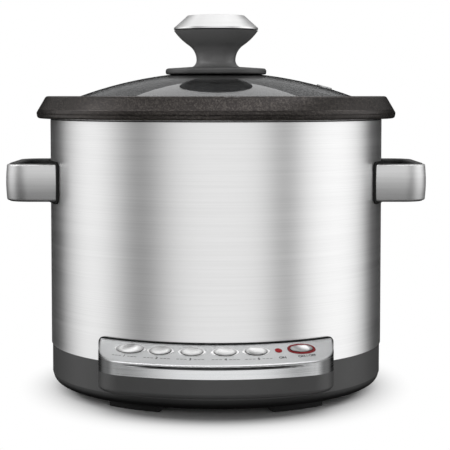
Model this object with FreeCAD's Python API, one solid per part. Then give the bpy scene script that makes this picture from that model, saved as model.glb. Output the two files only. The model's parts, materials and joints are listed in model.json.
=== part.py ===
import FreeCAD, Part
import math
import os

# Slow cooker: a brushed steel body on a moulded base with a sloped front control fascia, two loop
# handles, a lift-out bowl and a glass lid. Millimetres, +Z up, the front faces -Y. Pieces are drawn
# around the body's own axis and then moved along Y, so that the origin is under the middle of the box.

V = FreeCAD.Vector
UP = V(0, 0, 1)
RIGHT = V(1, 0, 0)
BACK = V(0, 1, 0)
TOUCHING = 1e-4
OVERCUT = 1.0

# Fits
SEAT_GAP = 0.05
GLUE_LINE = 0.05
RUNNING_FIT = 0.05
LIFT_GAP = 0.3

# Base, plinth and feet
FOOT_HEIGHT = 5.0
FOOT_WIDTH = 12.0
FOOT_INSET = 9.3
FOOT_FROM_DEG = 20.6
FOOT_TO_DEG = 40.9
FOOT_POCKET = 0.6
FOOT_EDGE_R = 1.5
PLINTH_HEIGHT = 7.6
PLINTH_INSET = 0.5
PLINTH_WALL = 2.5
PLINTH_EDGE_R = 7.0
VENT_COUNT = 12
VENT_WIDTH = 4.0
VENT_LENGTH = 22.0
VENT_RING_R = 88.0
SKIRT_HEIGHT = 6.1
BASE_HEIGHT = 17.3
BASE_INSET = 0.8
BASE_WALL = 2.5
BASE_EDGE_R = 4.0
BASE_LEDGE = 25.0
BASE_SHOULDER = 10.0

# Steel shell
BODY_R = 132.0
SHELL_WALL = 0.8
SHELL_FLANGE = 6.0

# Liner, top ring, heater and sensor
LINER_SPACE = 12.2
LINER_WALL = 0.8
LINER_RISE = 10.0
LINER_DEPTH = 167.0
LINER_HOLE_R = 30.0
LINER_CORNER_R = 14.0
LINER_FLANGE_INSET = 2.0
RING_HEIGHT = 13.4
RING_WALL = 2.4
RING_INSET = 0.8
RING_CLEARANCE = 0.7
HEATER_INSET = 27.8
HEATER_THICKNESS = 8.0
HEATER_POST_HEIGHT = 8.2
HEATER_POST_R = 5.0
HEATER_POST_RING_R = 44.0
ELEMENT_RING_R = 68.0
ELEMENT_TUBE_R = 3.3
ELEMENT_OPENING_DEG = 25.0
TERMINAL_LENGTH = 3.0
TERMINAL_R = 1.9
SENSOR_R = 15.0
SENSOR_CAP_HEIGHT = 3.0
SENSOR_STEM_R = 6.0
SENSOR_HOLE_GAP = 1.5
SENSOR_PLATE = 1.2
SENSOR_PLATE_OVERLAP = 6.0
SENSOR_CLIP = 1.0
SENSOR_CLIP_WIDTH = 3.0
SPRING_WIRE_R = 0.7
SPRING_TURNS = 4
FUSE_R = 2.2
FUSE_LENGTH = 14.0
FUSE_Y = -57.0

# Control fascia
PANEL_REACH = 26.0
PANEL_HALF_WIDTH = 85.6
PANEL_CORNER_R = 28.0
PANEL_DROP = 2.9
PANEL_FRONT_HEIGHT = 10.0
PANEL_SLOPE_DEG = 22.6
PANEL_WALL = 2.2
PANEL_EDGE_R = 2.6
PANEL_GASKET = 1.4
PANEL_GASKET_SHOW = 1.1
PANEL_GASKET_CORNER_R = 4.5
GROOVE_R = 1.0
GROOVE_DEPTH = 0.8
GROOVE_DROP = 2.4
GROOVE_END_DEG = 25.0

# Buttons, bezels and lights on the slope
BUTTON_RING_INSET = 15.8
FUNCTION_DEGS = (-25.8, -16.2, -6.9, 2.6, 11.6)
LIGHT_DEG = 18.3
START_DEG = 25.6
BUTTON_LONG = 15.4
BUTTON_SHORT = 10.6
LARGE_LONG = 20.4
LARGE_SHORT = 11.8
START_LONG = 17.4
START_SHORT = 8.8
OVAL_END_SHARE = 0.36
BUTTON_GAP = 0.25
BUTTON_PROUD = 0.7
BUTTON_DISH_R = 30.0
BUTTON_DISH = 0.6
BUTTON_TRAVEL = 0.8
BUTTON_FLANGE = 0.8
BUTTON_FLANGE_THICK = 1.0
BUTTON_STEM_R = 2.0
BEZEL_RIM = 0.9
BEZEL_TIP = 1.6
BEZEL_DEPTH = 3.2
BEZEL_PROUD = 0.25
LIGHT_RING_RIM = 1.9
SLEEVE_DEPTH = 4.4
SLEEVE_WALL = 1.2
LENS_R = 2.6
LENS_FLANGE = 0.8
BOARD_THICKNESS = 1.6
BOARD_DEPTH = 12.2
BOARD_INSET = 6.0
BOARD_POST_R = 3.5
BOARD_POST_DEGS = (-21.0, 7.0, 21.0)
SWITCH_SIZE = 5.0
SWITCH_BODY = 3.4
SWITCH_PLUNGER = 0.9
SWITCH_PLUNGER_R = 1.75
SWITCH_GAP = 0.05
LED_R = 1.6
LED_HEIGHT = 2.0

# Power board, leads and inlet
POWER_BOARD_X = 100.0
POWER_BOARD_Y = 70.0
POWER_BOARD_CENTRE_Y = 40.0
POWER_POST_HEIGHT = 11.4
POWER_POST_R = 4.0
POWER_POST_INSET = 6.0
RELAY_SIZE = (19.0, 15.5, 15.3)
RELAY_PLACE = (-28.0, 28.0)
TRANSFORMER_SIZE = (32.0, 27.0, 21.0)
TRANSFORMER_PLACE = (27.0, 30.0)
COMPONENT_EDGE_R = 1.0
LEAD_R = 1.6
LEAD_BEND_R = 3.5
LEAD_HOLE_R = 4.0
PANEL_LEAD_Y = 12.0
INLET_LEAD_Y = 62.0
INLET_HALF_WIDTH = 15.0
INLET_HALF_HEIGHT = 9.5
INLET_FLANGE = 2.5
INLET_FLANGE_THICK = 1.6
INLET_WALL = 2.2
INLET_DEPTH = 14.0
INLET_CHAMFER = 4.0
INLET_RISE = 18.0
TOWER_MARGIN = 6.0
TOWER_REACH = 2.0
TOWER_CORNER_R = 5.0
TOWER_WALL = 2.5
PIN_WIDTH = 2.0
PIN_HEIGHT = 4.0
PIN_PITCH = 7.0
PIN_RISE = 2.0
PIN_SHORT = 2.0

# Handles
HANDLE_REACH = 32.3
HANDLE_HALF_SPAN = 52.0
HANDLE_DROP = 48.7
HANDLE_HEIGHT = 28.2
HANDLE_CROWN = 1.2
HANDLE_CROWN_SHARE = 0.68
HANDLE_BAND_WALL = 1.3
HANDLE_BAND_FOLD = 3.0
HANDLE_BAND_EDGE_R = 1.6
HANDLE_LEG = 10.0
HANDLE_GRIP_EDGE_R = 2.4
HANDLE_GRIP_PROUD = 0.6
HANDLE_CORNER_R = 20.0
HANDLE_FIT = 0.1
HANDLE_GASKET = 1.4
HANDLE_GASKET_SHOW = 2.3
HANDLE_GASKET_CORNER_R = 5.0

# Bowl
BOWL_CLEARANCE = 3.0
BOWL_WALL = 3.0
BOWL_TAPER = 5.0
BOWL_CORNER_R = 22.0
LID_SEAT = 8.3
LID_SEAT_DEPTH = 10.3
RIM_THICKNESS = 3.5
RIM_OVERHANG = 11.0
RIM_FLAT = 3.4
RIM_EDGE_DROP = 13.0
RIM_DROP = 17.4
RIM_LIP = 3.4
RIM_TUCK = 0.8
RIM_LIP_OUT_R = 2.2
RIM_EDGE_R = 2.4

# Lid
LID_CLEARANCE = 0.6
LID_BAND_WALL = 0.7
LID_BAND_WIDTH = 7.2
LID_BAND_FOOT = 2.25
LID_EDGE = 2.7
GLASS_THICKNESS = 4.0
DOME_R = 315.0
GLASS_SLOT = 0.1
VENT_INSET = 31.3
VENT_HOLE_R = 4.0
EYELET_BORE_R = 2.5
EYELET_FLANGE_R = 6.2
EYELET_FLANGE = 1.0
EYELET_EDGE_R = 0.7
KNOB_FOOT_R = 40.3
KNOB_FOOT_HEIGHT = 6.0
KNOB_FOOT_FALL = 1.4
KNOB_FOOT_DROP = 1.9
KNOB_FOOT_SKIRT = 4.3
KNOB_FLARE_R = 19.0
KNOB_WAIST_R = 15.6
KNOB_SHOULDER_R = 21.9
KNOB_TOP_R = 33.6
KNOB_WAIST_Z = 5.3
KNOB_SHOULDER_Z = 17.2
KNOB_TOP_Z = 28.8
KNOB_SHADOW_GAP = 0.9
KNOB_SPIGOT_R = 19.0
CAP_WALL = 1.5
CAP_EDGE = 1.3
CAP_FLAT_R = 22.7
CAP_HEIGHT = 11.0
CAP_DOME = 1.0
SEAL_THICKNESS = 1.5
SEAL_R = 12.0
WASHER_THICKNESS = 1.2

# Screws
SCREW_R = 2.0
SCREW_HEAD_R = 3.4
SCREW_HEAD = 2.0
SCREW_BITE = 6.0
BASE_SCREW_DEGS = (75.0, 105.0, 255.0, 285.0)
BASE_BOSS_R = 4.5
HANDLE_SCREW_BITE = 8.0
KNOB_SCREW_BITE = 12.0
SMALL_SCREW_R = 1.2
SMALL_HEAD_R = 2.4
SMALL_HEAD = 1.6
SMALL_BITE = 3.2

# Heights and radii that follow
COVER_Z = FOOT_HEIGHT
SKIRT_Z = COVER_Z + PLINTH_HEIGHT
BASE_Z = SKIRT_Z + SKIRT_HEIGHT
SHELL_Z = BASE_Z + BASE_HEIGHT
LINER_FLOOR = SHELL_Z + LINER_RISE
SHELL_TOP = LINER_FLOOR + LINER_DEPTH
SHELL_IN_R = BODY_R - SHELL_WALL
BASE_R = BODY_R - BASE_INSET
PLINTH_R = BASE_R - PLINTH_INSET
LINER_R = BODY_R - LINER_SPACE
HEATER_R = LINER_R - HEATER_INSET
HEATER_Z = LINER_FLOOR + LINER_WALL + HEATER_POST_HEIGHT
HEATER_TOP = HEATER_Z + HEATER_THICKNESS
RING_TOP = SHELL_TOP + LINER_WALL + RING_HEIGHT
RIM_UNDER = RING_TOP + LIFT_GAP
RIM_TOP = RIM_UNDER + RIM_THICKNESS
RIM_R = BODY_R + RIM_OVERHANG
BOWL_Z = HEATER_TOP + SEAT_GAP
BOWL_R = LINER_R - LINER_WALL - BOWL_CLEARANCE
BOWL_IN_R = BOWL_R - BOWL_WALL
SEAT_R = BOWL_IN_R + LID_SEAT
COLLAR_R = SEAT_R + BOWL_WALL
SEAT_Z = RIM_TOP - LID_SEAT_DEPTH
LID_R = SEAT_R - LID_CLEARANCE
GLASS_R = LID_R - LID_EDGE
VENT_X = GLASS_R - VENT_INSET
DOME_IN_R = DOME_R - GLASS_THICKNESS
DOME_Z = SEAT_Z + LID_BAND_FOOT - math.sqrt(DOME_IN_R ** 2 - GLASS_R ** 2)
APEX_Z = DOME_Z + DOME_R
KNOB_FOOT_Z = APEX_Z - KNOB_FOOT_DROP
KNOB_Z = KNOB_FOOT_Z + KNOB_FOOT_HEIGHT
PANEL_R = BODY_R + PANEL_REACH
PANEL_Z = SHELL_Z - PANEL_DROP
CREASE_Z = PANEL_Z + PANEL_FRONT_HEIGHT
SLOPE = math.radians(PANEL_SLOPE_DEG)
PRESS = V(0, -math.sin(SLOPE), math.cos(SLOPE))
BUTTON_RING_R = PANEL_R - BUTTON_RING_INSET
POWER_BOARD_Z = COVER_Z + PLINTH_WALL + POWER_POST_HEIGHT
INLET_Z = BASE_Z + INLET_RISE
TOWER_Y = BODY_R + TOWER_REACH
HANDLE_R = BODY_R + HANDLE_REACH
HANDLE_MID_Z = SHELL_TOP - HANDLE_DROP
AXIS_Y = (PANEL_R - RIM_R) / 2


def in_section(r, z):
    return V(r, 0, z)


def rounded_face(corners, place):
    """Face inside (a, b, radius) corners; a corner with a radius is an arc tangent to both its sides."""
    points = [place(a, b) for a, b, radius in corners]
    edges = []
    runs = []
    for index, (a, b, radius) in enumerate(corners):
        here = points[index]
        back = (points[index - 1] - here).normalize()
        ahead = (points[(index + 1) % len(points)] - here).normalize()
        half = back.getAngle(ahead) / 2
        if radius == 0:
            runs.append((here, here))
            continue
        reach = radius / math.tan(half)
        middle = (back + ahead).normalize() * (radius / math.sin(half) - radius)
        start = here + back * reach
        end = here + ahead * reach
        edges.append(Part.Arc(start, here + middle, end).toShape())
        runs.append((start, end))
    for index, (start, end) in enumerate(runs):
        before = runs[index - 1][1]
        if before.distanceToPoint(start) > TOUCHING:
            edges.append(Part.LineSegment(before, start).toShape())
    return Part.Face(Part.Wire(Part.__sortEdges__(edges)))


def revolved(corners, degrees=360):
    """Solid turned about the body axis from (radius, height, corner radius) corners."""
    return rounded_face(corners, in_section).revolve(V(0, 0, 0), UP, degrees)


def ring(inner, outer, low, high):
    """Plain ring about the body axis."""
    return revolved([(inner, low, 0), (outer, low, 0), (outer, high, 0), (inner, high, 0)])


def drum(radius, low, high, x=0.0, y=0.0):
    """Upright cylinder between two heights."""
    return Part.makeCylinder(radius, high - low, V(x, y, low))


def block(x_low, x_high, y_low, y_high, z_low, z_high):
    """Box between its low and high corners."""
    return Part.makeBox(x_high - x_low, y_high - y_low, z_high - z_low, V(x_low, y_low, z_low))


def around(shape, degrees):
    """Copy turned about the body axis."""
    copy = shape.copy()
    copy.rotate(V(0, 0, 0), UP, degrees)
    return copy


def joined(shapes):
    """One solid from several that meet."""
    whole = shapes[0].fuse(shapes[1:])
    return whole.removeSplitter()


def save(name, solids):
    """Writes one piece, or a group of like pieces, at its place in the part's frame."""
    group = solids if isinstance(solids, list) else [solids]
    shape = group[0] if len(group) == 1 else Part.makeCompound(group)
    placed = shape.copy()
    placed.translate(V(0, AXIS_Y, 0))
    placed.exportStep("parts/" + name + ".step")


def panel_prism(inset, low, high):
    """Fascia plan as an upright prism: a front arc round the body axis, round corners, straight sides."""
    half = PANEL_HALF_WIDTH - inset
    corner = PANEL_CORNER_R - inset
    front = PANEL_R - inset
    x = half - corner
    y = -math.sqrt((front - corner) ** 2 - x ** 2)
    lead = front / (front - corner)
    lean = (RIGHT + V(x, y, 0).normalize()).normalize() * corner
    edges = [Part.Arc(V(-x * lead, y * lead, low), V(0, -front, low), V(x * lead, y * lead, low)).toShape()]
    for side in (-1, 1):
        turn = V(side * half, y, low)
        middle = V(side * (x + lean.x), y + lean.y, low)
        edges.append(Part.Arc(V(side * x * lead, y * lead, low), middle, turn).toShape())
        edges.append(Part.LineSegment(turn, V(side * half, 0, low)).toShape())
    edges.append(Part.LineSegment(V(-half, 0, low), V(half, 0, low)).toShape())
    return Part.Face(Part.Wire(Part.__sortEdges__(edges))).extrude(V(0, 0, high - low))


def under_slope(offset):
    """All that lies below the fascia's sloped top, a cone about the body axis, moved square to itself."""
    lift = CREASE_Z + offset / math.cos(SLOPE)
    near = BODY_R / 2
    far = PANEL_R * 2
    inner = lift + (PANEL_R - near) * math.tan(SLOPE)
    outer = lift + (PANEL_R - far) * math.tan(SLOPE)
    return revolved([(0, -far, 0), (far, -far, 0), (far, outer, 0), (near, inner, 0), (0, inner, 0)])


def tilted(shape):
    """Turns a shape drawn upright into the buttons' press direction, square to the middle of the slope."""
    shape.rotate(V(0, 0, 0), RIGHT, PANEL_SLOPE_DEG)
    return shape


def slope_point(degrees):
    """Place of a button in the upright frame that tilted() turns: x, y, height and turn in degrees."""
    turn = math.radians(degrees)
    x = BUTTON_RING_R * math.sin(turn)
    y = -BUTTON_RING_R * math.cos(turn)
    z = CREASE_Z + BUTTON_RING_INSET * math.tan(SLOPE)
    along = y * math.cos(SLOPE) + z * math.sin(SLOPE)
    height = z * math.cos(SLOPE) - y * math.sin(SLOPE)
    return x, along, height, math.degrees(math.atan2(math.sin(turn) * math.cos(SLOPE), math.cos(turn)))


def on_slope(shape, degrees):
    """Moves a shape drawn upright about the origin to its button's place and tilts it."""
    x, along, height, turn = slope_point(degrees)
    shape.rotate(V(0, 0, 0), UP, turn)
    shape.translate(V(x, along, height))
    return tilted(shape)


def oval_prism(size, grow, low, high):
    """Upright oval of four tangent arcs; grow widens it evenly all round."""
    long, short = size
    end = OVAL_END_SHARE * short + grow
    a = long / 2 + grow
    b = short / 2 + grow
    drop = ((a - end) ** 2 - (b - end) ** 2) / (2 * (b - end))
    ray = V(a - end, drop, 0).normalize() * (b + drop)
    x = ray.x
    y = ray.y - drop
    edges = []
    for side in (-1, 1):
        edges.append(Part.Arc(V(-x, side * y, low), V(0, side * b, low), V(x, side * y, low)).toShape())
        edges.append(Part.Arc(V(side * x, y, low), V(side * a, 0, low), V(side * x, -y, low)).toShape())
    return Part.Face(Part.Wire(Part.__sortEdges__(edges))).extrude(V(0, 0, high - low))


def eye_prism(size, grow, low, high):
    """Upright lens shape of two arcs round an oval, with a tip past each end of it."""
    a = size[0] / 2 + BEZEL_RIM + BEZEL_TIP + grow
    b = size[1] / 2 + BEZEL_RIM + grow
    upper = Part.Arc(V(-a, 0, low), V(0, b, low), V(a, 0, low)).toShape()
    lower = Part.Arc(V(a, 0, low), V(0, -b, low), V(-a, 0, low)).toShape()
    return Part.Face(Part.Wire([upper, lower])).extrude(V(0, 0, high - low))


BUTTON_SIZE = (BUTTON_LONG, BUTTON_SHORT)
LARGE_SIZE = (LARGE_LONG, LARGE_SHORT)
START_SIZE = (START_LONG, START_SHORT)
FUNCTION_SIZES = [LARGE_SIZE] + [BUTTON_SIZE] * (len(FUNCTION_DEGS) - 1)
ALL_DEGS = FUNCTION_DEGS + (START_DEG,)
BOARD_TOP = min(slope_point(degrees)[2] for degrees in ALL_DEGS) - BOARD_DEPTH
ABOVE_SLOPE = 2 * BEZEL_DEPTH


def board_slab(low, high):
    """Tilted slab between two heights along the press direction."""
    return tilted(block(-PANEL_R, PANEL_R, -2 * PANEL_R, PANEL_R, low, high))


def board_point(degrees, height):
    """Point on the control board's middle line, at a height along the press direction."""
    middle = (PANEL_R - BOARD_INSET + BODY_R) / 2
    turn = math.radians(degrees)
    x = middle * math.sin(turn)
    y = -middle * math.cos(turn)
    return V(x, y, (height + y * math.sin(SLOPE)) / math.cos(SLOPE))


def edges_at(shape, height):
    """Edges of a shape that lie wholly at one height."""
    return [edge for edge in shape.Edges
            if abs(edge.BoundBox.ZMin - height) < TOUCHING and abs(edge.BoundBox.ZMax - height) < TOUCHING]


def tower_prism(grow, low, y_from, y_to):
    """Block round the power inlet, with round upper corners, between two places along Y."""
    half = INLET_HALF_WIDTH + TOWER_MARGIN + grow
    top = INLET_Z + INLET_HALF_HEIGHT + TOWER_MARGIN + grow
    corners = [(-half, low, 0), (half, low, 0), (half, top, TOWER_CORNER_R + grow),
               (-half, top, TOWER_CORNER_R + grow)]
    face = rounded_face(corners, lambda x, z: V(x, y_from, z))
    return face.extrude(V(0, y_to - y_from, 0))


def boss_ring_r():
    return BASE_R - BASE_LEDGE + BASE_BOSS_R


def base_moulding():
    """Round tray with a skirt, the fascia's bulge in front, the inlet's block behind, and bosses below."""
    floor = BASE_Z + BASE_WALL
    skin = drum(BASE_R, SKIRT_Z, SHELL_Z).fuse(panel_prism(0, BASE_Z, PANEL_Z)).removeSplitter()
    bulge_edges = []
    for edge in edges_at(skin, BASE_Z):
        middle = edge.valueAt((edge.FirstParameter + edge.LastParameter) / 2)
        if math.hypot(middle.x, middle.y) > BASE_R + TOUCHING:
            bulge_edges.append(edge)
    skin = skin.makeFillet(BASE_EDGE_R, bulge_edges)
    tower = tower_prism(0, BASE_Z + BASE_EDGE_R, LINER_R + BASE_WALL, TOWER_Y)
    tower_room = tower_prism(-TOWER_WALL, floor, 0, TOWER_Y - TOWER_WALL)
    mouth = block(-INLET_HALF_WIDTH - GLUE_LINE, INLET_HALF_WIDTH + GLUE_LINE, 0, TOWER_Y * 2,
                  INLET_Z - INLET_HALF_HEIGHT - GLUE_LINE, INLET_Z + INLET_HALF_HEIGHT + GLUE_LINE)
    room = drum(BASE_R - BASE_WALL, floor, SHELL_Z - BASE_WALL)
    skirt_room = drum(BASE_R - BASE_WALL, COVER_Z, BASE_Z)
    bulge_room = panel_prism(BASE_WALL, floor, PANEL_Z + SEAT_GAP)
    floor_hole = drum(BASE_R - BASE_LEDGE, 0, floor + BASE_WALL)
    top_hole = drum(BASE_R - BASE_SHOULDER, floor, SHELL_TOP)
    tray = skin.fuse(tower).cut([room, skirt_room, bulge_room, floor_hole, top_hole, tower_room, mouth])
    posts = []
    under = board_slab(BOARD_TOP - BOARD_THICKNESS, BOARD_TOP + PANEL_R)
    for degrees in BOARD_POST_DEGS:
        spot = board_point(degrees, BOARD_TOP - BOARD_THICKNESS)
        post = drum(BOARD_POST_R, BASE_Z + BASE_WALL / 2, CREASE_Z + PANEL_REACH, spot.x, spot.y).cut(under)
        posts.append(post)
    for degrees in BASE_SCREW_DEGS:
        boss = drum(BASE_BOSS_R, COVER_Z + PLINTH_WALL, floor, 0, -boss_ring_r())
        posts.append(around(boss, degrees))
    tray = joined([tray] + posts)
    holes = [screw_shank(spot) for spot in board_screw_spots()]
    for degrees in BASE_SCREW_DEGS:
        pilot = drum(SCREW_R + GLUE_LINE, COVER_Z, floor, 0, -boss_ring_r())
        holes.append(around(pilot, degrees))
    return tray.cut(holes)


def board_screw_spots():
    return [board_point(degrees, BOARD_TOP) for degrees in BOARD_POST_DEGS]


def screw_shank(spot):
    """Room for a small screw's shank, square to the control board."""
    reach = BOARD_THICKNESS + SMALL_BITE + SMALL_HEAD
    return Part.makeCylinder(SMALL_SCREW_R + GLUE_LINE, reach, spot + PRESS * SMALL_HEAD, PRESS * -1)


def bottom_cover():
    """Black plinth dish with foot pockets, vent slots and posts for the power board."""
    floor_top = COVER_Z + PLINTH_WALL
    inner = PLINTH_R - PLINTH_WALL
    dish = revolved([(0, COVER_Z, 0), (PLINTH_R, COVER_Z, PLINTH_EDGE_R), (PLINTH_R, SKIRT_Z, 0),
                     (inner, SKIRT_Z, 0), (inner, floor_top, PLINTH_EDGE_R - PLINTH_WALL), (0, floor_top, 0)])
    posts = [drum(POWER_POST_R, floor_top, POWER_BOARD_Z, x, y) for x, y in power_post_spots()]
    dish = joined([dish] + posts)
    cuts = []
    for index in range(VENT_COUNT):
        slot = block(-VENT_WIDTH / 2, VENT_WIDTH / 2, -VENT_RING_R, VENT_LENGTH - VENT_RING_R,
                     COVER_Z - OVERCUT, floor_top + OVERCUT)
        cuts.append(around(slot, 360.0 * (index + 0.5) / VENT_COUNT))
    for degrees in BASE_SCREW_DEGS:
        hole = drum(SCREW_R + GLUE_LINE, COVER_Z - OVERCUT, floor_top + OVERCUT, 0, -boss_ring_r())
        cuts.append(around(hole, degrees))
    for x, y in power_post_spots():
        cuts.append(drum(SMALL_SCREW_R + GLUE_LINE, POWER_BOARD_Z - SMALL_BITE,
                         POWER_BOARD_Z + OVERCUT, x, y))
    cuts += [foot(GLUE_LINE, turn) for turn in foot_turns()]
    return dish.cut(cuts)


def power_post_spots():
    x = POWER_BOARD_X / 2 - POWER_POST_INSET
    y = POWER_BOARD_Y / 2 - POWER_POST_INSET
    return [(side * x, POWER_BOARD_CENTRE_Y + end * y) for side in (-1, 1) for end in (-1, 1)]


def foot_turns():
    """Turn from the front of each foot's first end."""
    span = FOOT_TO_DEG - FOOT_FROM_DEG
    return [FOOT_FROM_DEG, -FOOT_FROM_DEG - span, 180 + FOOT_FROM_DEG, 180 - FOOT_FROM_DEG - span]


def foot(grow, turn):
    """Arc-shaped rubber pad that sits in a pocket of the plinth; grow is the pocket's clearance."""
    outer = PLINTH_R - FOOT_INSET + grow
    inner = PLINTH_R - FOOT_INSET - FOOT_WIDTH - grow
    top = COVER_Z + FOOT_POCKET
    spare = math.degrees(grow / outer)
    corners = [(inner, 0, FOOT_EDGE_R), (outer, 0, FOOT_EDGE_R), (outer, top, 0), (inner, top, 0)]
    pad = revolved(corners, FOOT_TO_DEG - FOOT_FROM_DEG + 2 * spare)
    return around(pad, turn - spare - 90)


def steel_shell():
    """Drawn steel sleeve with a flange turned in at both ends, notched for the inlet's block."""
    inner = BODY_R - SHELL_FLANGE
    sleeve = revolved([(inner, SHELL_Z, 0), (BODY_R, SHELL_Z, 0), (BODY_R, SHELL_TOP, SHELL_WALL),
                       (inner, SHELL_TOP, 0), (inner, SHELL_TOP - SHELL_WALL, 0),
                       (SHELL_IN_R, SHELL_TOP - SHELL_WALL, 0), (SHELL_IN_R, SHELL_Z + SHELL_WALL, 0),
                       (inner, SHELL_Z + SHELL_WALL, 0)])
    notch = tower_prism(LIFT_GAP, BASE_Z, LINER_R, TOWER_Y * 2)
    return sleeve.cut([notch] + handle_screw_holes())


def fascia_back():
    """Drum that the fascia's back edge follows, just outside its gasket."""
    return drum(BODY_R + PANEL_GASKET + GLUE_LINE, 0, SHELL_TOP)


def on_cone(point):
    """Whether a point lies on the fascia's sloped top."""
    height = CREASE_Z + (PANEL_R - math.hypot(point.x, point.y)) * math.tan(SLOPE)
    return abs(point.z - height) < TOUCHING


def fascia_groove():
    """Ring cutter set back from the body axis, so that the groove fades out towards the corners."""
    back = GROOVE_DEPTH / (1 - math.cos(math.radians(GROOVE_END_DEG)))
    reach = PANEL_R + GROOVE_R - GROOVE_DEPTH + back
    return Part.makeTorus(reach, GROOVE_R, V(0, back, CREASE_Z - GROOVE_DROP))


def control_fascia():
    """Hollow sloped fascia with a faded groove under its crease, sleeves and wells for the buttons."""
    skin = panel_prism(0, PANEL_Z, SHELL_TOP).common(under_slope(0))
    crease = []
    for edge in skin.Edges:
        middle = edge.valueAt((edge.FirstParameter + edge.LastParameter) / 2)
        if on_cone(middle) and middle.y < -PANEL_CORNER_R:
            crease.append(edge)
    skin = skin.makeFillet(PANEL_EDGE_R, crease)
    room = panel_prism(PANEL_WALL, 0, SHELL_TOP).common(under_slope(-PANEL_WALL))
    walls = skin.cut([room, fascia_groove()])
    below = under_slope(-PANEL_WALL / 2)
    sleeves = []
    cuts = []
    for degrees, size in zip(FUNCTION_DEGS, FUNCTION_SIZES):
        well = (size[0] + 2 * BEZEL_TIP, size[1])
        sleeve = oval_prism(well, BEZEL_RIM + SLEEVE_WALL, -SLEEVE_DEPTH, ABOVE_SLOPE)
        sleeves.append(on_slope(sleeve, degrees).common(below))
        cuts.append(on_slope(eye_prism(size, GLUE_LINE, -BEZEL_DEPTH, ABOVE_SLOPE), degrees))
        cuts.append(on_slope(oval_prism(size, BUTTON_GAP, -2 * SLEEVE_DEPTH, ABOVE_SLOPE), degrees))
    rim = BUTTON_GAP + LIGHT_RING_RIM
    sleeve = oval_prism(START_SIZE, rim + SLEEVE_WALL, -SLEEVE_DEPTH, ABOVE_SLOPE)
    sleeves.append(on_slope(sleeve, START_DEG).common(below))
    cuts.append(on_slope(oval_prism(START_SIZE, rim + GLUE_LINE, -BEZEL_DEPTH, ABOVE_SLOPE), START_DEG))
    cuts.append(on_slope(oval_prism(START_SIZE, BUTTON_GAP, -2 * SLEEVE_DEPTH, ABOVE_SLOPE), START_DEG))
    tube = drum(LENS_R + SLEEVE_WALL, -SLEEVE_DEPTH, ABOVE_SLOPE)
    sleeves.append(on_slope(tube, LIGHT_DEG).common(below))
    cuts.append(on_slope(drum(LENS_R + GLUE_LINE, -2 * SLEEVE_DEPTH, ABOVE_SLOPE), LIGHT_DEG))
    return joined([walls] + sleeves).cut(cuts + [fascia_back()])


def panel_gasket():
    """Soft seal that hugs the steel behind the fascia and shows as a dark line round it."""
    half = PANEL_HALF_WIDTH + PANEL_GASKET_SHOW
    edge = PANEL_R - BODY_R - PANEL_GASKET
    top = CREASE_Z + edge * math.tan(SLOPE) + PANEL_GASKET_SHOW
    corners = [(-half, SHELL_Z, 0), (half, SHELL_Z, 0), (half, top, PANEL_GASKET_CORNER_R),
               (-half, top, PANEL_GASKET_CORNER_R)]
    face = rounded_face(corners, lambda x, z: V(x, 0, z))
    strip = ring(BODY_R + GLUE_LINE, BODY_R + PANEL_GASKET, SHELL_Z, SHELL_TOP)
    frame = strip.common(face.extrude(V(0, -PANEL_R, 0)))
    window = block(-half + 2 * PANEL_CORNER_R, half - 2 * PANEL_CORNER_R, -PANEL_R, 0,
                   SHELL_Z - OVERCUT, CREASE_Z)
    return frame.cut(window)


def button_bezel(degrees, size):
    """Polished eye-shaped ring let into the slope round a button."""
    plate = on_slope(eye_prism(size, 0, -BEZEL_DEPTH, ABOVE_SLOPE), degrees).common(under_slope(BEZEL_PROUD))
    return plate.cut(on_slope(oval_prism(size, BUTTON_GAP, -2 * BEZEL_DEPTH, ABOVE_SLOPE), degrees))


def light_ring():
    """Red ring round the start button, let into the slope."""
    rim = BUTTON_GAP + LIGHT_RING_RIM
    outer = on_slope(oval_prism(START_SIZE, rim, -BEZEL_DEPTH, ABOVE_SLOPE), START_DEG)
    inner = on_slope(oval_prism(START_SIZE, BUTTON_GAP, -2 * BEZEL_DEPTH, ABOVE_SLOPE), START_DEG)
    return outer.common(under_slope(BEZEL_PROUD)).cut(inner)


def button(degrees, size):
    """Dished oval key with a flange that holds it under its sleeve and a stem over its switch."""
    height = slope_point(degrees)[2]
    flange_top = -SLEEVE_DEPTH - SEAT_GAP
    flange_low = flange_top - BUTTON_FLANGE_THICK
    stem_low = BOARD_TOP + SWITCH_BODY + SWITCH_PLUNGER + BUTTON_TRAVEL + SWITCH_GAP - height
    cap = on_slope(oval_prism(size, 0, flange_low, ABOVE_SLOPE), degrees).common(under_slope(BUTTON_PROUD))
    turn = math.radians(degrees)
    normal = V(math.sin(SLOPE) * math.sin(turn), -math.sin(SLOPE) * math.cos(turn), math.cos(SLOPE))
    middle = V(BUTTON_RING_R * math.sin(turn), -BUTTON_RING_R * math.cos(turn),
               CREASE_Z + BUTTON_RING_INSET * math.tan(SLOPE))
    dish = Part.makeSphere(BUTTON_DISH_R, middle + normal * (BUTTON_DISH_R + BUTTON_PROUD - BUTTON_DISH))
    flange = on_slope(oval_prism(size, BUTTON_FLANGE, flange_low, flange_top), degrees)
    stem = on_slope(drum(BUTTON_STEM_R, stem_low, flange_top), degrees)
    return joined([cap.cut(dish), flange, stem])


def indicator_lens():
    """Red light pipe with a flange under its tube, ending just above the lamp."""
    height = slope_point(LIGHT_DEG)[2]
    low = BOARD_TOP + LED_HEIGHT + LIFT_GAP - height
    pipe = on_slope(drum(LENS_R, low, ABOVE_SLOPE), LIGHT_DEG).common(under_slope(BEZEL_PROUD))
    flange = on_slope(drum(LENS_R + SLEEVE_WALL, -SLEEVE_DEPTH - LENS_FLANGE, -SLEEVE_DEPTH), LIGHT_DEG)
    return joined([pipe, flange])


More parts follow.
